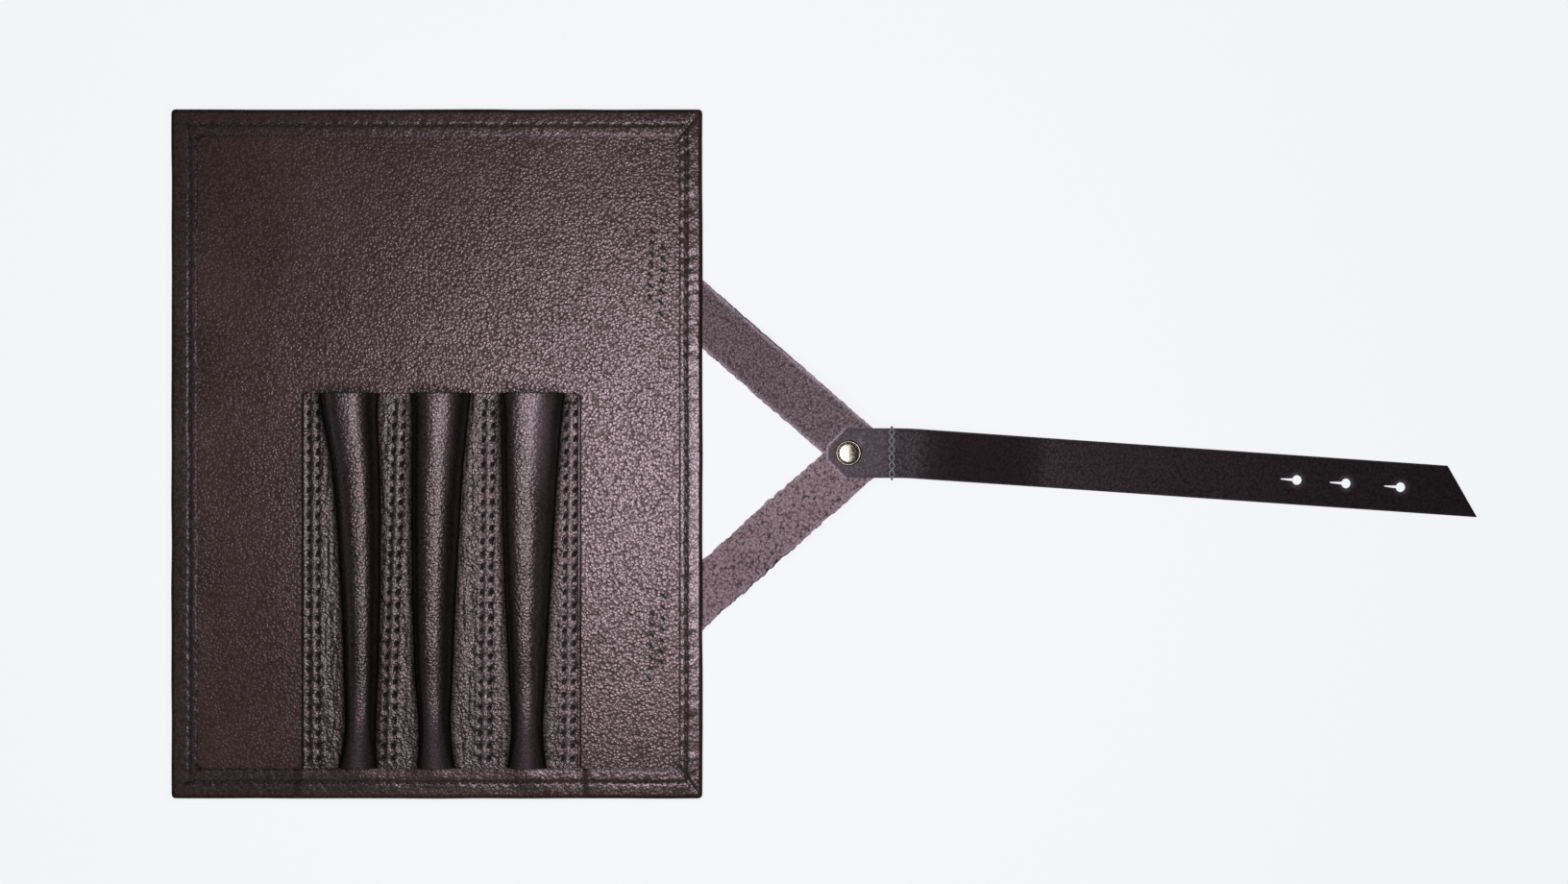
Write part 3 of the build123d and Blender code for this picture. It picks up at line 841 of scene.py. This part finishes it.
def tunnel_shape(section, share):
    """Middle, half width, height and lean of a tunnel at a share of the way from its mouth to the hem."""
    table = np.array(TUNNELS[section]).T
    return [through(share, table[0], column) for column in table[1:]]


def mouth_to_hem(y):
    """Share of the way from the tunnels' mouths to the bottom hem's inner edge, more than one under it."""
    return (POCKET_TOP - y) / (POCKET_TOP - bottom_hem_y())


def pocket_rows():
    """Heights of the pocket sheet's rows, from under the hem up to the mouth."""
    return spread([bottom_hem_y() - UNDER_HEM, bottom_hem_y(), POCKET_TOP], 0.45)


def base_x(section, side, y):
    """X of a tunnel's base line on one side: half width times the cosine at the base, and the flare."""
    middle, half, _, _ = tunnel_shape(section, np.clip(mouth_to_hem(y), 0, 1))
    return middle + side * (half * np.sqrt(1 - BASE_SINK**2) + BASE_FLARE)


def tunnel_grid(section):
    """Moulded tunnel: x is the middle plus half width times cosine, z the height times sine, base to base.

    Sine and cosine are raised to a power a little under one, which squares the arch's shoulders. The base
    flares out into the land, by a width that falls off with height.
    """
    y = pocket_rows()[:, None]
    share = mouth_to_hem(y)
    middle, half, height, lean = tunnel_shape(section, np.clip(share, 0, 1))
    height = np.where(share > 1, 0.25 * height * smooth((1.02 - share) / 0.02), height)
    start = np.pi + np.arcsin(BASE_SINK)
    angle = np.linspace(start, np.pi - start, 61)[None, :]
    sine, cosine = np.sin(angle), np.cos(angle)
    power = np.where(sine > 0, SHOULDER_POWER, 1)
    rise = (np.sign(sine) * np.abs(sine) ** power + BASE_SINK) / (1 + BASE_SINK)
    x = middle + half * np.sign(cosine) * np.abs(cosine) ** power
    x = x + lean * np.clip(sine, 0, 1) ** 2 + BASE_FLARE * np.sign(cosine) * np.exp(-height * rise / 0.8)
    soft = 0.09 * noise(x, y * 0.25, 2.6, 41) + 0.06 * noise(x, y, 6.0, 42)
    lip = 0.18 * bell(POCKET_TOP - y, 1.1)
    return stack(x, y, POCKET_Z + height * rise + (soft + lip) * rise)


def land_relief(x, y, seam):
    """Height of a flat land over its level: a puffed ridge between the two rows, holes and long wrinkles.

    The ridge and the puffs beside it are bells across the seam, which swell and sink with a cosine along it.
    """
    u = x - seam_x(seam, y)
    sewn = smooth((SEAM_TOP_Y + 4.5 - y) / 1.2) * smooth((y - SEAM_FOOT_Y + 2.5) / 1.5)
    beat = np.cos(2 * np.pi * (y - SEAM_FOOT_Y) / SEAM_PITCH)
    ridge = (0.2 - 0.1 * beat) * bell(u, 0.8)
    sides = 0.08 * bell(np.abs(u) - 2.75, 0.8) * (1 - beat)
    wrinkles = 0.1 * noise(x, y * 0.12, 0.9, 51) * smooth((np.abs(u) - 2.2) / 1.5)
    folds = 0.08 * noise(x, y, 3.4, 52) + 0.07 * noise(x, y * 0.7, 1.1, 53) * sewn
    return (ridge + sides) * sewn + wrinkles + folds - 0.8 * holes_near(x, y, seam) * sewn


def holes_near(x, y, seam):
    """One at each awl hole of a seam, falling off: slanted ovals on both rows, one pitch apart."""
    phase = (y - SEAM_FOOT_Y) / SEAM_PITCH
    dy = (phase - np.round(phase)) * SEAM_PITCH
    dx = x - seam_x(seam, y)
    return np.clip(sum(oval(dx - side * ROW_OFFSET, dy, *AWL_HOLE) for side in (-1, 1)), 0, 1)


def seam_pits(points):
    """Painted shade at the awl holes, in the valleys at each tunnel's base, and along the sheet's top edge.
    """
    x, y = points[:, 0], points[:, 1]
    dark = np.zeros(len(points))
    for seam in SEAMS:
        near = np.abs(x - seam_x(seam, y)) < 3
        inside = near & (y < SEAM_TOP_Y + 2) & (y > SEAM_FOOT_Y - 2)
        # Painted shade in the awl holes
        dark[inside] = np.maximum(dark[inside], holes_near(x[inside], y[inside], seam))
    for section in TUNNELS:
        for side in (-1, 1):
            off = x - base_x(section, side, y)
            # Painted shade in the valley beside each tunnel, wider on the land's side
            dark = np.maximum(dark, 0.9 * bell(off, np.where(off * side > 0, 1.5, 2.6)))
    # Painted shade along the mouth edge at the sheet's top
    return np.maximum(dark, 0.8 * smooth((y - POCKET_TOP + 0.5) / 0.4))


def pocket_rubs(points):
    """Painted highlights of the pocket sheet, each a bell across it that fades along it.

    They lie on the bead along its right edge, each tunnel's ridge at its mouth and foot, and the seams'
    puffs.
    """
    x, y = points[:, 0], points[:, 1]
    down = POCKET_TOP - y
    pale_marks = 0.6 * bell(POCKET_RIGHT - x - 0.7, 0.28) * smooth((down - 1) / 3) * smooth((75 - down) / 30)
    for name, strength in MOUTH_HIGHLIGHTS.items():
        middle, half, _, _ = tunnel_shape(name, 0.0)
        near = bell(x - middle - 0.1 * half, 0.4 * half)
        pale_marks = np.maximum(pale_marks, strength * near * smooth((36 - down) / 30))
        middle, half, _, _ = tunnel_shape(name, np.clip(mouth_to_hem(y), 0, 1))
        pale_marks = np.maximum(pale_marks, FOOT_HIGHLIGHT * bell(x - middle, 0.4 * half) * smooth((down - 85) / 18))
    for seam, strength in PUFF_HIGHLIGHTS.items():
        pale_marks = np.maximum(pale_marks, strength * bell(x - seam_x(seam, y), 1.1) * smooth((down - 3) / 4))
    return pale_marks


def land_grid(left, right, seam, bead=0):
    """Flat land between two lines of x, given for every row, with its relief, which fades out at both lines.

    A bead of -1 or 1 marks the sheet's own edge, left or right, which is rounded over beside a pressed line.
    """
    y, left, right = pocket_rows()[:, None], left[:, None], right[:, None]
    t = np.linspace(0, 1, int(np.ceil((right - left).max() / LAND_STEP)) + 1)[None, :]
    x = left + (right - left) * t
    edge = smooth(t / 0.08) * smooth((1 - t) / 0.08)
    under = smooth((bottom_hem_y() + 0.3 - y) / 0.6)
    level = POCKET_Z + land_relief(x, y, seam) * edge * (1 - 0.8 * under)
    if bead:
        inside = np.abs(x - (left if bead < 0 else right))
        level = level - 0.3 * bell(inside, 0.3) + 0.2 * bell(inside - 0.75, 0.3)
    return stack(x, y, level)


class MakePockets(Operator):
    """Pocket sheet: three moulded tunnels that stay stiff, and the sewn lands between them"""

    bl_idname = "pen_case.pockets"
    bl_label = "Pen pockets"

    def execute(self, context):
        y = pocket_rows()
        edges = {name: (base_x(name, -1, y), base_x(name, 1, y)) for name in TUNNELS}
        drawn = np.maximum(0, y - (POCKET_TOP - POCKET_CORNER))
        round_in = POCKET_CORNER - np.sqrt(np.maximum(0, POCKET_CORNER**2 - drawn**2))
        left_edge, right_edge = POCKET_LEFT + 0.5 * round_in, POCKET_RIGHT - round_in
        outer_left = land_grid(left_edge, edges["pocket_left"][0], "outer_left", bead=-1)
        outer_right = land_grid(edges["pocket_right"][1], right_edge, "outer_right", bead=1)
        grids = {
            "pocket_left": [outer_left, tunnel_grid("pocket_left")],
            "pocket_middle": [tunnel_grid("pocket_middle")],
            "pocket_right": [tunnel_grid("pocket_right"), outer_right],
        }
        for section, patches in grids.items():
            made = self.lay(f"pen_{section}_tunnel", patches)
            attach(made, section)
            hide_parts(f"pen_{section}")
        for seam, bending in BENT_SEAMS.items():
            grid = land_grid(edges[bending[0]][1], edges[bending[1]][0], seam)
            made = self.lay(f"pocket_land_{seam}", [grid])
            bend(made, *bending)
        return {"FINISHED"}

    def lay(self, name, patches):
        """Piece of the pocket sheet."""
        made = sheet_object(name, patches, wet_moulded_calf, POCKET_WALL, seam_pits, pocket_rubs)
        return made


def stitch_template(length, radius):
    """One stitch along X: a round thread that thins and sinks towards its ends, by powers of the way."""
    t = np.array([-1, -0.85, -0.45, 0, 0.45, 0.85, 1])[:, None]
    angle = np.radians(np.arange(0, 361, 60))[None, :]
    girth = radius * np.sqrt(np.clip(1 - np.abs(t) ** 4, 0, 1))
    dive = -0.45 * np.abs(t) ** 5
    y = girth * np.sin(angle)
    z = girth * np.cos(angle) + dive
    return stack(t * length / 2 + 0 * y, y, z)


def sew(name, finish, stitch, places, turns, face, back):
    """Stitches as one mesh: the template turned and moved to each place, and again upside down on the back.

    Turns are the rows' directions in degrees, and face and back are the levels of the leather.
    """
    length, slant, rise = stitch
    thread = bpy.context.scene.pen_case_sizes.thread / MM
    points, quads, triangles = weld([stitch_template(length, thread / 2)])
    count = len(places)
    flip = np.repeat([[1.0], [-1.0]], count, axis=0)
    middle = np.tile(places, (2, 1))
    angle = np.tile(np.radians(np.broadcast_to(turns, count) + slant), 2)[:, None]
    level = np.concatenate([np.broadcast_to(face + rise, count), np.broadcast_to(back, count)])[:, None]
    c, s = np.cos(angle), np.sin(angle)
    x = middle[:, :1] + points[:, 0] * c - points[:, 1] * s * flip
    y = middle[:, 1:] + points[:, 0] * s + points[:, 1] * c * flip
    every = np.stack([x, y, level + points[:, 2] * flip], -1).reshape(-1, 3)
    offset = (np.arange(2 * count) * len(points))[:, None, None]
    made = make_mesh(name, every, (quads + offset).reshape(-1, 4), (triangles + offset).reshape(-1, 3))
    made.data.materials.append(material(finish))
    return made


class MakeHemThread(Operator):
    """Hem stitching on the face and on the back, in four pieces cut between the panel's folds"""

    bl_idname = "pen_case.hem_thread"
    bl_label = "Hem thread"

    def execute(self, context):
        places, turns = hem_stitch_places()
        levels = HEM_Z + hem_relief(*places.T)
        limits = [-HALF_W, *CUTS, HALF_W]
        for index, nodes in enumerate(SECTION_NODES):
            here = (places[:, 0] >= limits[index]) & (places[:, 0] < limits[index + 1])
            rows = places[here], turns[here], levels[here], BACK_LEVEL
            made = sew(f"hem_thread_{nodes[-1]}", brown_linen_thread, HEM_STITCH, *rows)
            place_section(made, index, "hem_stitches")
        return {"FINISHED"}


class MakeSeamThread(Operator):
    """Thread of the pocket seams, two rows on each land"""

    bl_idname = "pen_case.seam_thread"
    bl_label = "Seam thread"

    def execute(self, context):
        y = SEAM_FOOT_Y + (SEAM_TOP_Y - SEAM_FOOT_Y) * (np.arange(SEAM_COUNT) + 0.5) / SEAM_COUNT
        for seam in SEAMS:
            places = np.vstack([np.stack([seam_x(seam, y) + side * ROW_OFFSET, y], -1) for side in (-1, 1)])
            levels = POCKET_Z + land_relief(*places.T, seam)
            name = f"seam_thread_{seam}"
            made = sew(name, brown_linen_thread, SEAM_STITCH, places, 90.0, levels, BACK_LEVEL)
            if seam in RIGID_SEAMS:
                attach(made, RIGID_SEAMS[seam])
                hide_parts(f"seam_stitches_{seam}")
            else:
                bend(made, *BENT_SEAMS[seam])
                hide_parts(f"seam_stitches_{seam}_a", f"seam_stitches_{seam}_b")
        return {"FINISHED"}


def arm_rise(x):
    """Top level of the arms: under the panel at its back, then an eased climb to the strap's head."""
    t = np.clip((x - ARM_RISE_X) / ARM_RISE_LENGTH, 0, 1)
    return -0.03 + (ARM_TOP + 0.01) * (1 - np.cos(np.pi * t)) / 2


def arm_grid(along, across, rag):
    """Face of an arm, drawn from the junction: a along it, from the tail's cut to the mitre, and b across it.

    Noise makes both edges ragged, by the given amount, and lifts them into a slight curl beyond the panel.
    """
    b = np.linspace(-ARM_WIDTH / 2, ARM_WIDTH / 2, 41)[None, :]
    t = np.linspace(0, 1, 260)[:, None]
    mitre = -b * across[1] / along[1]
    tail = (TAIL_END - JUNCTION_X - b * across[0]) / along[0]
    a = tail + (mitre - tail) * t
    reach = np.abs(b) / (ARM_WIDTH / 2)
    edge = rag * noise(a, b * 40, 2.1, 61) + rag * 0.7 * noise(a, b * 40, 0.9, 62)
    wide = b + np.sign(b) * edge * reach**6 * np.sin(np.pi * t) ** 0.3
    x = JUNCTION_X + along[0] * a + across[0] * wide
    y = MIDDLE_Y + along[1] * a + across[1] * wide
    curl = 0.22 * (reach**4) + 0.1 * noise(a, b, 7.0, 63)
    return stack(x, y, arm_rise(x) + curl * smooth((x - HALF_W - 1) / 6) * smooth((JUNCTION_X - 14 - x) / 8))


def fray(across, nap):
    """How pale an arm's fibres are: as its nap, and more over a millimetre or so at its cut edges."""

    def worn(points):
        off = np.abs((points[:, :2] - (JUNCTION_X, MIDDLE_Y)) @ across)
        return np.maximum(nap, smooth((off - ARM_WIDTH / 2 + 1.6) / 1.4))

    return worn


class MakeArms(Operator):
    """Two arms, flesh side up, from their sewn tails under the panel to the mitre under the strap's head"""

    bl_idname = "pen_case.arms"
    bl_label = "Arms"

    def execute(self, context):
        for (name, (slope, rag, nap)), face in zip(ARMS.items(), (flesh_side_hide, coarse_flesh_side)):
            along = np.array([np.cos(np.radians(slope)), np.sin(np.radians(slope))])
            across = np.array([-along[1], along[0]])
            grid = arm_grid(along, across, rag)
            made = sheet_object(f"{name}_arm_leather", [grid], face, ARM_WALL, worn=fray(across, nap))
            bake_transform(made)
            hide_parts(f"{name}_arm", f"{name}_arm_tail")
            rows = arm_row_places(slope), 90.0, LINING_Z, TAIL_BACK_LEVEL
            made = sew(f"{name}_arm_thread", sunk_linen_thread, ARM_STITCH, *rows)
            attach(made, "right_flap")
            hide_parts(f"{name}_arm_stitches")
        return {"FINISHED"}


def strap_line(u):
    """Middle line of the strap at u past its bend: straight, an eased turn to its heading, straight again."""
    turn = 4.0
    past = np.where(u < -turn, 0, np.where(u > turn, u, (u + turn) ** 2 / (4 * turn)))
    x = BEND_X + (u - past) + past * np.cos(STRAP_HEADING)
    y = MIDDLE_Y + past * np.sin(STRAP_HEADING)
    heading = STRAP_HEADING * np.clip((u + turn) / (2 * turn), 0, 1)
    return x, y, heading


def strap_point(u, b):
    """Point of the strap's upper face, u along it and b across it, with its eased fall to the floor."""
    x, y, heading = strap_line(u)
    fall = smooth((u - FALL_START) / FALL_LENGTH) * (STRAP_TOP - STRAP_THICK - FLOOR_Z)
    half = STRAP_WIDTH / 2
    soft = -0.16 * np.clip(np.abs(b) / half, 0, 1) ** 10
    return stack(x - b * np.sin(heading), y + b * np.cos(heading), STRAP_TOP - fall + soft)


def keyhole(u, b, at):
    """Nearest point of a hole's outline, a circle with a slit towards the root, to a point around it.

    A point on the root's side and near the middle line goes to the slit, any other towards the hole's middle.
    """
    du, far = u - at, np.maximum(np.hypot(u - at, b), 1e-9)
    slit = (u < at - HOLE_RADIUS * 0.98) & (np.abs(b) < 1.6)
    on_slit_u = np.clip(u, at - HOLE_RADIUS - SLIT_LENGTH, at - HOLE_RADIUS)
    side = np.where(b >= 0, 1, -1) * SLIT_HALF
    hole_u = np.where(slit, on_slit_u, at + du / far * HOLE_RADIUS)
    return hole_u, np.where(slit, side, b / far * HOLE_RADIUS)


def strap_rubs(points):
    """Strap's pale places: painted highlight on the head and edges, a scuff beside the stud, a halo round
    each hole.
    """
    c, s = np.cos(STRAP_HEADING), np.sin(STRAP_HEADING)
    dx, dy = points[:, 0] - BEND_X, points[:, 1] - MIDDLE_Y
    past = dx > 0
    u, b = np.where(past, dx * c + dy * s, dx), np.where(past, dy * c - dx * s, dy)
    half, root = STRAP_WIDTH / 2, HEAD_X - BEND_X
    corner = np.abs(b) - (half - HEAD_CUT)
    cut = (u - root - np.maximum(0, corner)) / np.where(corner > 0, 1.41, 1)
    # Painted highlight: a pale line along the head's cut end, fainter over the head and along the strap's
    # edges
    pale_marks = np.where(cut < 0.75, 1.0, 0.0) * (u < root + HEAD_CUT + 1)
    pale_marks = np.maximum(pale_marks, 0.16 * smooth((-u - 4) / 4))
    pale_marks = np.maximum(pale_marks, 0.25 * np.clip(1 - (half - np.abs(b)) / 0.5, 0, 1))
    scuff = bell(u + 14.6, 2.2) * bell(b - 4.6, 2.4)
    patchy = smooth(noise(points[:, 0], points[:, 1], 1.1, 71) + 0.3)
    pale_marks = np.maximum(pale_marks, 0.7 * scuff * patchy)
    for at in HOLES:
        pale_marks = np.maximum(pale_marks, 0.3 * bell(np.hypot(u - at, b) - HOLE_RADIUS, 0.9))
    return pale_marks


def tube(path, radius, sides=8):
    """Round thread along a path: at each point a circle square to it, shrunk to a point at both ends."""
    along = np.gradient(path, axis=0)
    along /= np.linalg.norm(along, axis=1, keepdims=True)
    first = np.array([1.0, 0, 0]) - along * along[:, :1]
    first /= np.linalg.norm(first, axis=1, keepdims=True)
    second = np.cross(along, first)
    angle = np.radians(np.linspace(0, 360, sides + 1))[None, :, None]
    circle = first[:, None] * np.cos(angle) + second[:, None] * np.sin(angle)
    girth = np.full(len(path), radius)
    girth[[0, -1]] = 0
    return path[:, None] + girth[:, None, None] * circle


class MakeStrap(Operator):
    """Long strap with its eight-sided head, three buttoning holes and slanted tip, and its cross stitching"""

    bl_idname = "pen_case.strap"
    bl_label = "Strap"

    def execute(self, context):
        made = self.lay("strap_head_leather", [self.head()])
        start, end = (BEND_X * MM, 0, 0), ((BEND_X + BEND_REACH) * MM, 0, 0)
        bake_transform(made)
        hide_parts("strap_head")

        made = self.lay("strap_tail_leather", self.tail())
        heading = np.array([np.cos(STRAP_HEADING), np.sin(STRAP_HEADING), 0.0])
        start = np.array([BEND_X, MIDDLE_Y, 0.0]) + WRAP_AT * heading
        end = start + BEND_REACH * heading
        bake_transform(made)
        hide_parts("strap_middle", "strap_end")
        self.sew_across()
        return {"FINISHED"}

    def lay(self, name, patches):
        """Piece of the strap, its grids turned to face up."""
        turned = [patch[:, ::-1] for patch in patches]
        made = sheet_object(name, turned, burnished_bridle, STRAP_WALL, worn=strap_rubs)
        return made

    def head(self):
        """Head: straight lines along the strap, from its root with both corners cut off to the split."""
        half = STRAP_WIDTH / 2
        b = np.linspace(-half, half, 33)[None, :]
        t = np.linspace(0, 1, 150)[:, None]
        start = HEAD_X - BEND_X + np.maximum(0, np.abs(b) - (half - HEAD_CUT))
        return strap_point(start + (SPLIT_AT - start) * t, b)

    def tail(self):
        """Tail: plain stretches, a window round each hole with a plain strip on both sides, and the tip."""
        half, window, margin, step = STRAP_WIDTH / 2, 4.0, 2.0, 0.9
        side = np.linspace(window, half, 9)
        across = np.concatenate([-side[::-1], np.linspace(-window, window, 17)[1:-1], side])
        patches, before = [], SPLIT_AT
        for at in HOLES:
            low, high = at - HOLE_RADIUS - SLIT_LENGTH - margin, at + HOLE_RADIUS + margin
            inside = spread([low, high], 0.5)
            patches.append(self.block(spread([before, low], step), across))
            patches.append(self.block(inside, across[across <= -window + 1e-6]))
            patches.append(self.block(inside, across[across >= window - 1e-6]))
            patches.append(self.window(inside, across[np.abs(across) <= window + 1e-6], at))
            before = high
        last = spread([before, STRAP_LENGTH - TIP_SLANT - 1.0], step)
        end = STRAP_LENGTH - TIP_SLANT * (across + half) / (2 * half)
        t = np.linspace(0, 1, 16)[:, None]
        tip = strap_point(last[-1] + (end - last[-1]) * t, across[None, :])
        return patches + [self.block(last, across), tip]

    def block(self, u, b):
        """Plain stretch of the strap's face."""
        return strap_point(u[:, None], b[None, :])

    def window(self, u, b, at):
        """Face round one hole: from each point of the window's border straight to the hole's outline."""
        ring_u = np.concatenate([u, np.full(len(b) - 2, u[-1]), u[::-1], np.full(len(b) - 1, u[0])])
        ring_b = np.concatenate([np.full(len(u), b[0]), b[1:-1], np.full(len(u), b[-1]), b[-2::-1]])
        hole_u, hole_b = keyhole(ring_u, ring_b, at)
        t = np.array([0, 0.35, 0.6, 0.8, 0.93, 1.0])[:, None]
        return strap_point(ring_u + (hole_u - ring_u) * t, ring_b + (hole_b - ring_b) * t)[::-1]

    def sew_across(self):
        """Cross row: two strands that swing across each other like a chain, and go down round both edges.

        The swing is a sine along the row, opposite in the two strands, and each passes over then under.
        """
        half, loop, swing, girth = STRAP_WIDTH / 2, 2.6, 0.75, 0.36
        s = np.linspace(-half - 1.9, half + 1.9, 150)
        over = np.clip(np.abs(s) - half, 0, None)
        y = np.sign(s) * (np.minimum(np.abs(s), half) + girth * smooth(over / 0.4))
        calm = 1 - smooth((np.abs(s) - half + 0.8) / 0.9)
        strands = []
        for turn in (1, -1):
            x = CROSS_ROW_X + turn * swing * np.sin(np.pi * s / loop) * calm
            z = STRAP_TOP + 0.18 + turn * 0.16 * np.cos(np.pi * s / loop) * calm - over
            strands.append(tube(np.stack([x, MIDDLE_Y + y, z], -1), girth))
        points, quads, triangles = weld(strands)
        made = make_mesh("strap_cross_thread", points, quads, triangles)
        made.data.materials.append(material(grey_linen_thread))
        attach(made, "arms")
        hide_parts("strap_cross_stitches")


def refinish(node, finish):
    """Give one of the construction's own nodes a finish."""
    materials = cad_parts[node].data.materials
    materials.clear()
    materials.append(material(finish))


def lathe(profile, x, y, steps=64):
    """Turned piece: a profile of (radius, height) carried round an upright axis."""
    profile = np.array(profile, float)
    angle = np.radians(np.linspace(0, 360, steps + 1))[None, :]
    radius, z = profile[:, :1], profile[:, 1:]
    return stack(x + radius * np.cos(angle), y + radius * np.sin(angle), z + 0 * angle)


class MakeStud(Operator):
    """Brass stud: the cap screw in the strap's face and the ball knob at the back"""

    bl_idname = "pen_case.stud"
    bl_label = "Stud"

    def execute(self, context):
        radius, low, high = (CAP_BOX[1][0] - CAP_BOX[0][0]) / 2, CAP_BOX[0][2], CAP_BOX[1][2]
        stem, ring_width, dome_rise, seat = 1.2, 0.8, 0.15, STRAP_TOP - 0.05
        middle, dome_edge = radius - ring_width / 2, radius - ring_width - 0.12
        turns = np.radians(np.linspace(-20, 180, 12))
        base = [(0, low), (stem, low), (stem, seat), (radius - 0.2, seat)]
        bead = [(middle + ring_width / 2 * np.cos(a), high - 0.5 + 0.32 * np.sin(a)) for a in turns]
        dome = [(dome_edge * t, high - dome_rise * t * t) for t in np.linspace(1, 0, 10)]
        profile = [*base, *bead, (dome_edge, high - 0.5), *dome]
        points, quads, triangles = weld([lathe(profile, STUD_X, MIDDLE_Y)])
        made = make_mesh("stud_cap", points, quads, triangles)
        made.data.materials.append(material(polished_brass))
        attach(made, "arms")
        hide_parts("stud_cap_screw")
        refinish("stud_knob", polished_brass)
        return {"FINISHED"}


class MakeStiffener(Operator):
    """Bonded board inside the panel, which keeps its own shape and gets its finish"""

    bl_idname = "pen_case.stiffener"
    bl_label = "Stiffener"

    def execute(self, context):
        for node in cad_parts:
            if node.startswith("stiffener"):
                refinish(node, bonded_board)
        return {"FINISHED"}


def paper_floor(colour):
    """Matt white paper, which camera and reflections see near its own colour while it keeps some shadow."""
    made, tree = blank_material("matt_white_paper")
    either = {"operation": "MAXIMUM"}
    path = add(tree, "LightPath").outputs
    seen = add(tree, "Math", either, (path["Is Camera Ray"], path["Is Glossy Ray"]))
    seen = add(tree, "Math", either, (seen, path["Is Transmission Ray"]))
    share = add(tree, "Math", {"operation": "MULTIPLY"}, (seen, 0.95))
    paper = add(tree, "BsdfPrincipled", inputs={"Base Color": (*colour, 1), "Roughness": 0.9})
    glow = add(tree, "Emission", inputs={"Color": (*colour, 1), "Strength": 1.0})
    mixed = add(tree, "MixShader", inputs=(share, paper, glow))
    add(tree, "OutputMaterial", {"is_active_output": True}, (mixed,))
    return made


class MakeStage(Operator):
    """Pale floor, a soft lamp and the camera straight above the case"""

    bl_idname = "pen_case.stage"
    bl_label = "Stage"

    def execute(self, context):
        scene = context.scene
        colour = tuple(scene.pen_case_colours.floor)
        self.lay_floor(colour)
        self.light_world(scene, colour)
        self.hang_lamp(scene)
        self.set_camera(scene)
        scene.view_settings.view_transform = "Standard"
        return {"FINISHED"}

    def lay_floor(self, colour):
        """Floor at the level that the case lies on."""
        reach = 6000.0
        x, y = np.meshgrid([-reach, reach], [-reach, reach])
        made = make_mesh("floor", *weld([stack(x, y, FLOOR_Z - 0.02)]))
        made.data.materials.append(paper_floor(colour))

    def light_world(self, scene, colour):
        """Studio around the case: a white backdrop up to a low angle, and a dim ceiling above it."""
        world = bpy.data.worlds.new("studio")
        scene.world = world
        world.use_nodes = True
        tree = world.node_tree
        tree.nodes.clear()
        way = add(tree, "TexCoord").outputs["Object"]
        height = add(tree, "SeparateXYZ", inputs=(way,)).outputs["Z"]
        dim = add(tree, "MapRange", {"interpolation_type": "SMOOTHSTEP"}, (height, 0.0, 0.06, 1.0, 0.14))
        lit = add(tree, "Background", inputs={"Color": (*colour, 1), "Strength": dim})
        add(tree, "OutputWorld", inputs=(lit,))

    def hang_lamp(self, scene):
        """Square soft lamp facing straight down; its power is radiance times pi times its area."""
        data = bpy.data.lights.new("key_lamp", "AREA")
        data.size = LAMP_SIZE * MM
        data.energy = LAMP_RADIANCE * np.pi * (LAMP_SIZE * MM) ** 2
        lamp = bpy.data.objects.new("key_lamp", data)
        scene.collection.objects.link(lamp)
        lamp.location = np.array(LAMP_PLACE) * MM
        lamp.rotation_mode = "QUATERNION"
        lamp.rotation_quaternion = Vector((0, 0, -1)).to_track_quat("-Z", "Y")
        lamp.visible_camera = False

    def set_camera(self, scene):
        """Camera straight above: its lens is the film's width times the distance over the width in view."""
        data = bpy.data.cameras.new("camera")
        data.sensor_width = 36.0
        data.lens = data.sensor_width * CAMERA_DISTANCE / (PIXEL * PICTURE_WIDTH)
        data.clip_end = 20.0
        camera = bpy.data.objects.new("camera", data)
        scene.collection.objects.link(camera)
        x, y = PICTURE_MIDDLE
        camera.location = (x * MM, y * MM, (CAMERA_DISTANCE + HEM_Z) * MM)
        scene.camera = camera


class PenCasePanel(Panel):
    """Sidebar panel that lists the case's pieces, sizes and colours"""

    bl_idname = "VIEW3D_PT_pen_case"
    bl_label = "Pen case"
    bl_space_type = "VIEW_3D"
    bl_region_type = "UI"
    bl_category = "Pen case"

    def draw(self, context):
        for group in (context.scene.pen_case_sizes, context.scene.pen_case_colours):
            for name in group.__annotations__:
                self.layout.prop(group, name)
        for maker in MAKERS:
            self.layout.operator(maker.bl_idname)


MAKERS = (
    MakeCover,
    MakeStiffener,
    MakeLining,
    MakePockets,
    MakeHemThread,
    MakeSeamThread,
    MakeArms,
    MakeStrap,
    MakeStud,
    MakeStage,
)
CLASSES = (CaseSizes, CaseColours, *MAKERS, PenCasePanel)


def register():
    """Register the classes and hang the two groups of settings on the scene."""
    for item in CLASSES:
        bpy.utils.register_class(item)
    bpy.types.Scene.pen_case_sizes = PointerProperty(type=CaseSizes)
    bpy.types.Scene.pen_case_colours = PointerProperty(type=CaseColours)


def unregister():
    """Take the settings and the classes away again."""
    del bpy.types.Scene.pen_case_sizes
    del bpy.types.Scene.pen_case_colours
    for item in reversed(CLASSES):
        bpy.utils.unregister_class(item)


def main():
    """Build every piece in order."""
    register()
    for maker in MAKERS:
        group, action = maker.bl_idname.split(".")
        getattr(getattr(bpy.ops, group), action)()


if __name__ == "__main__":
    main()
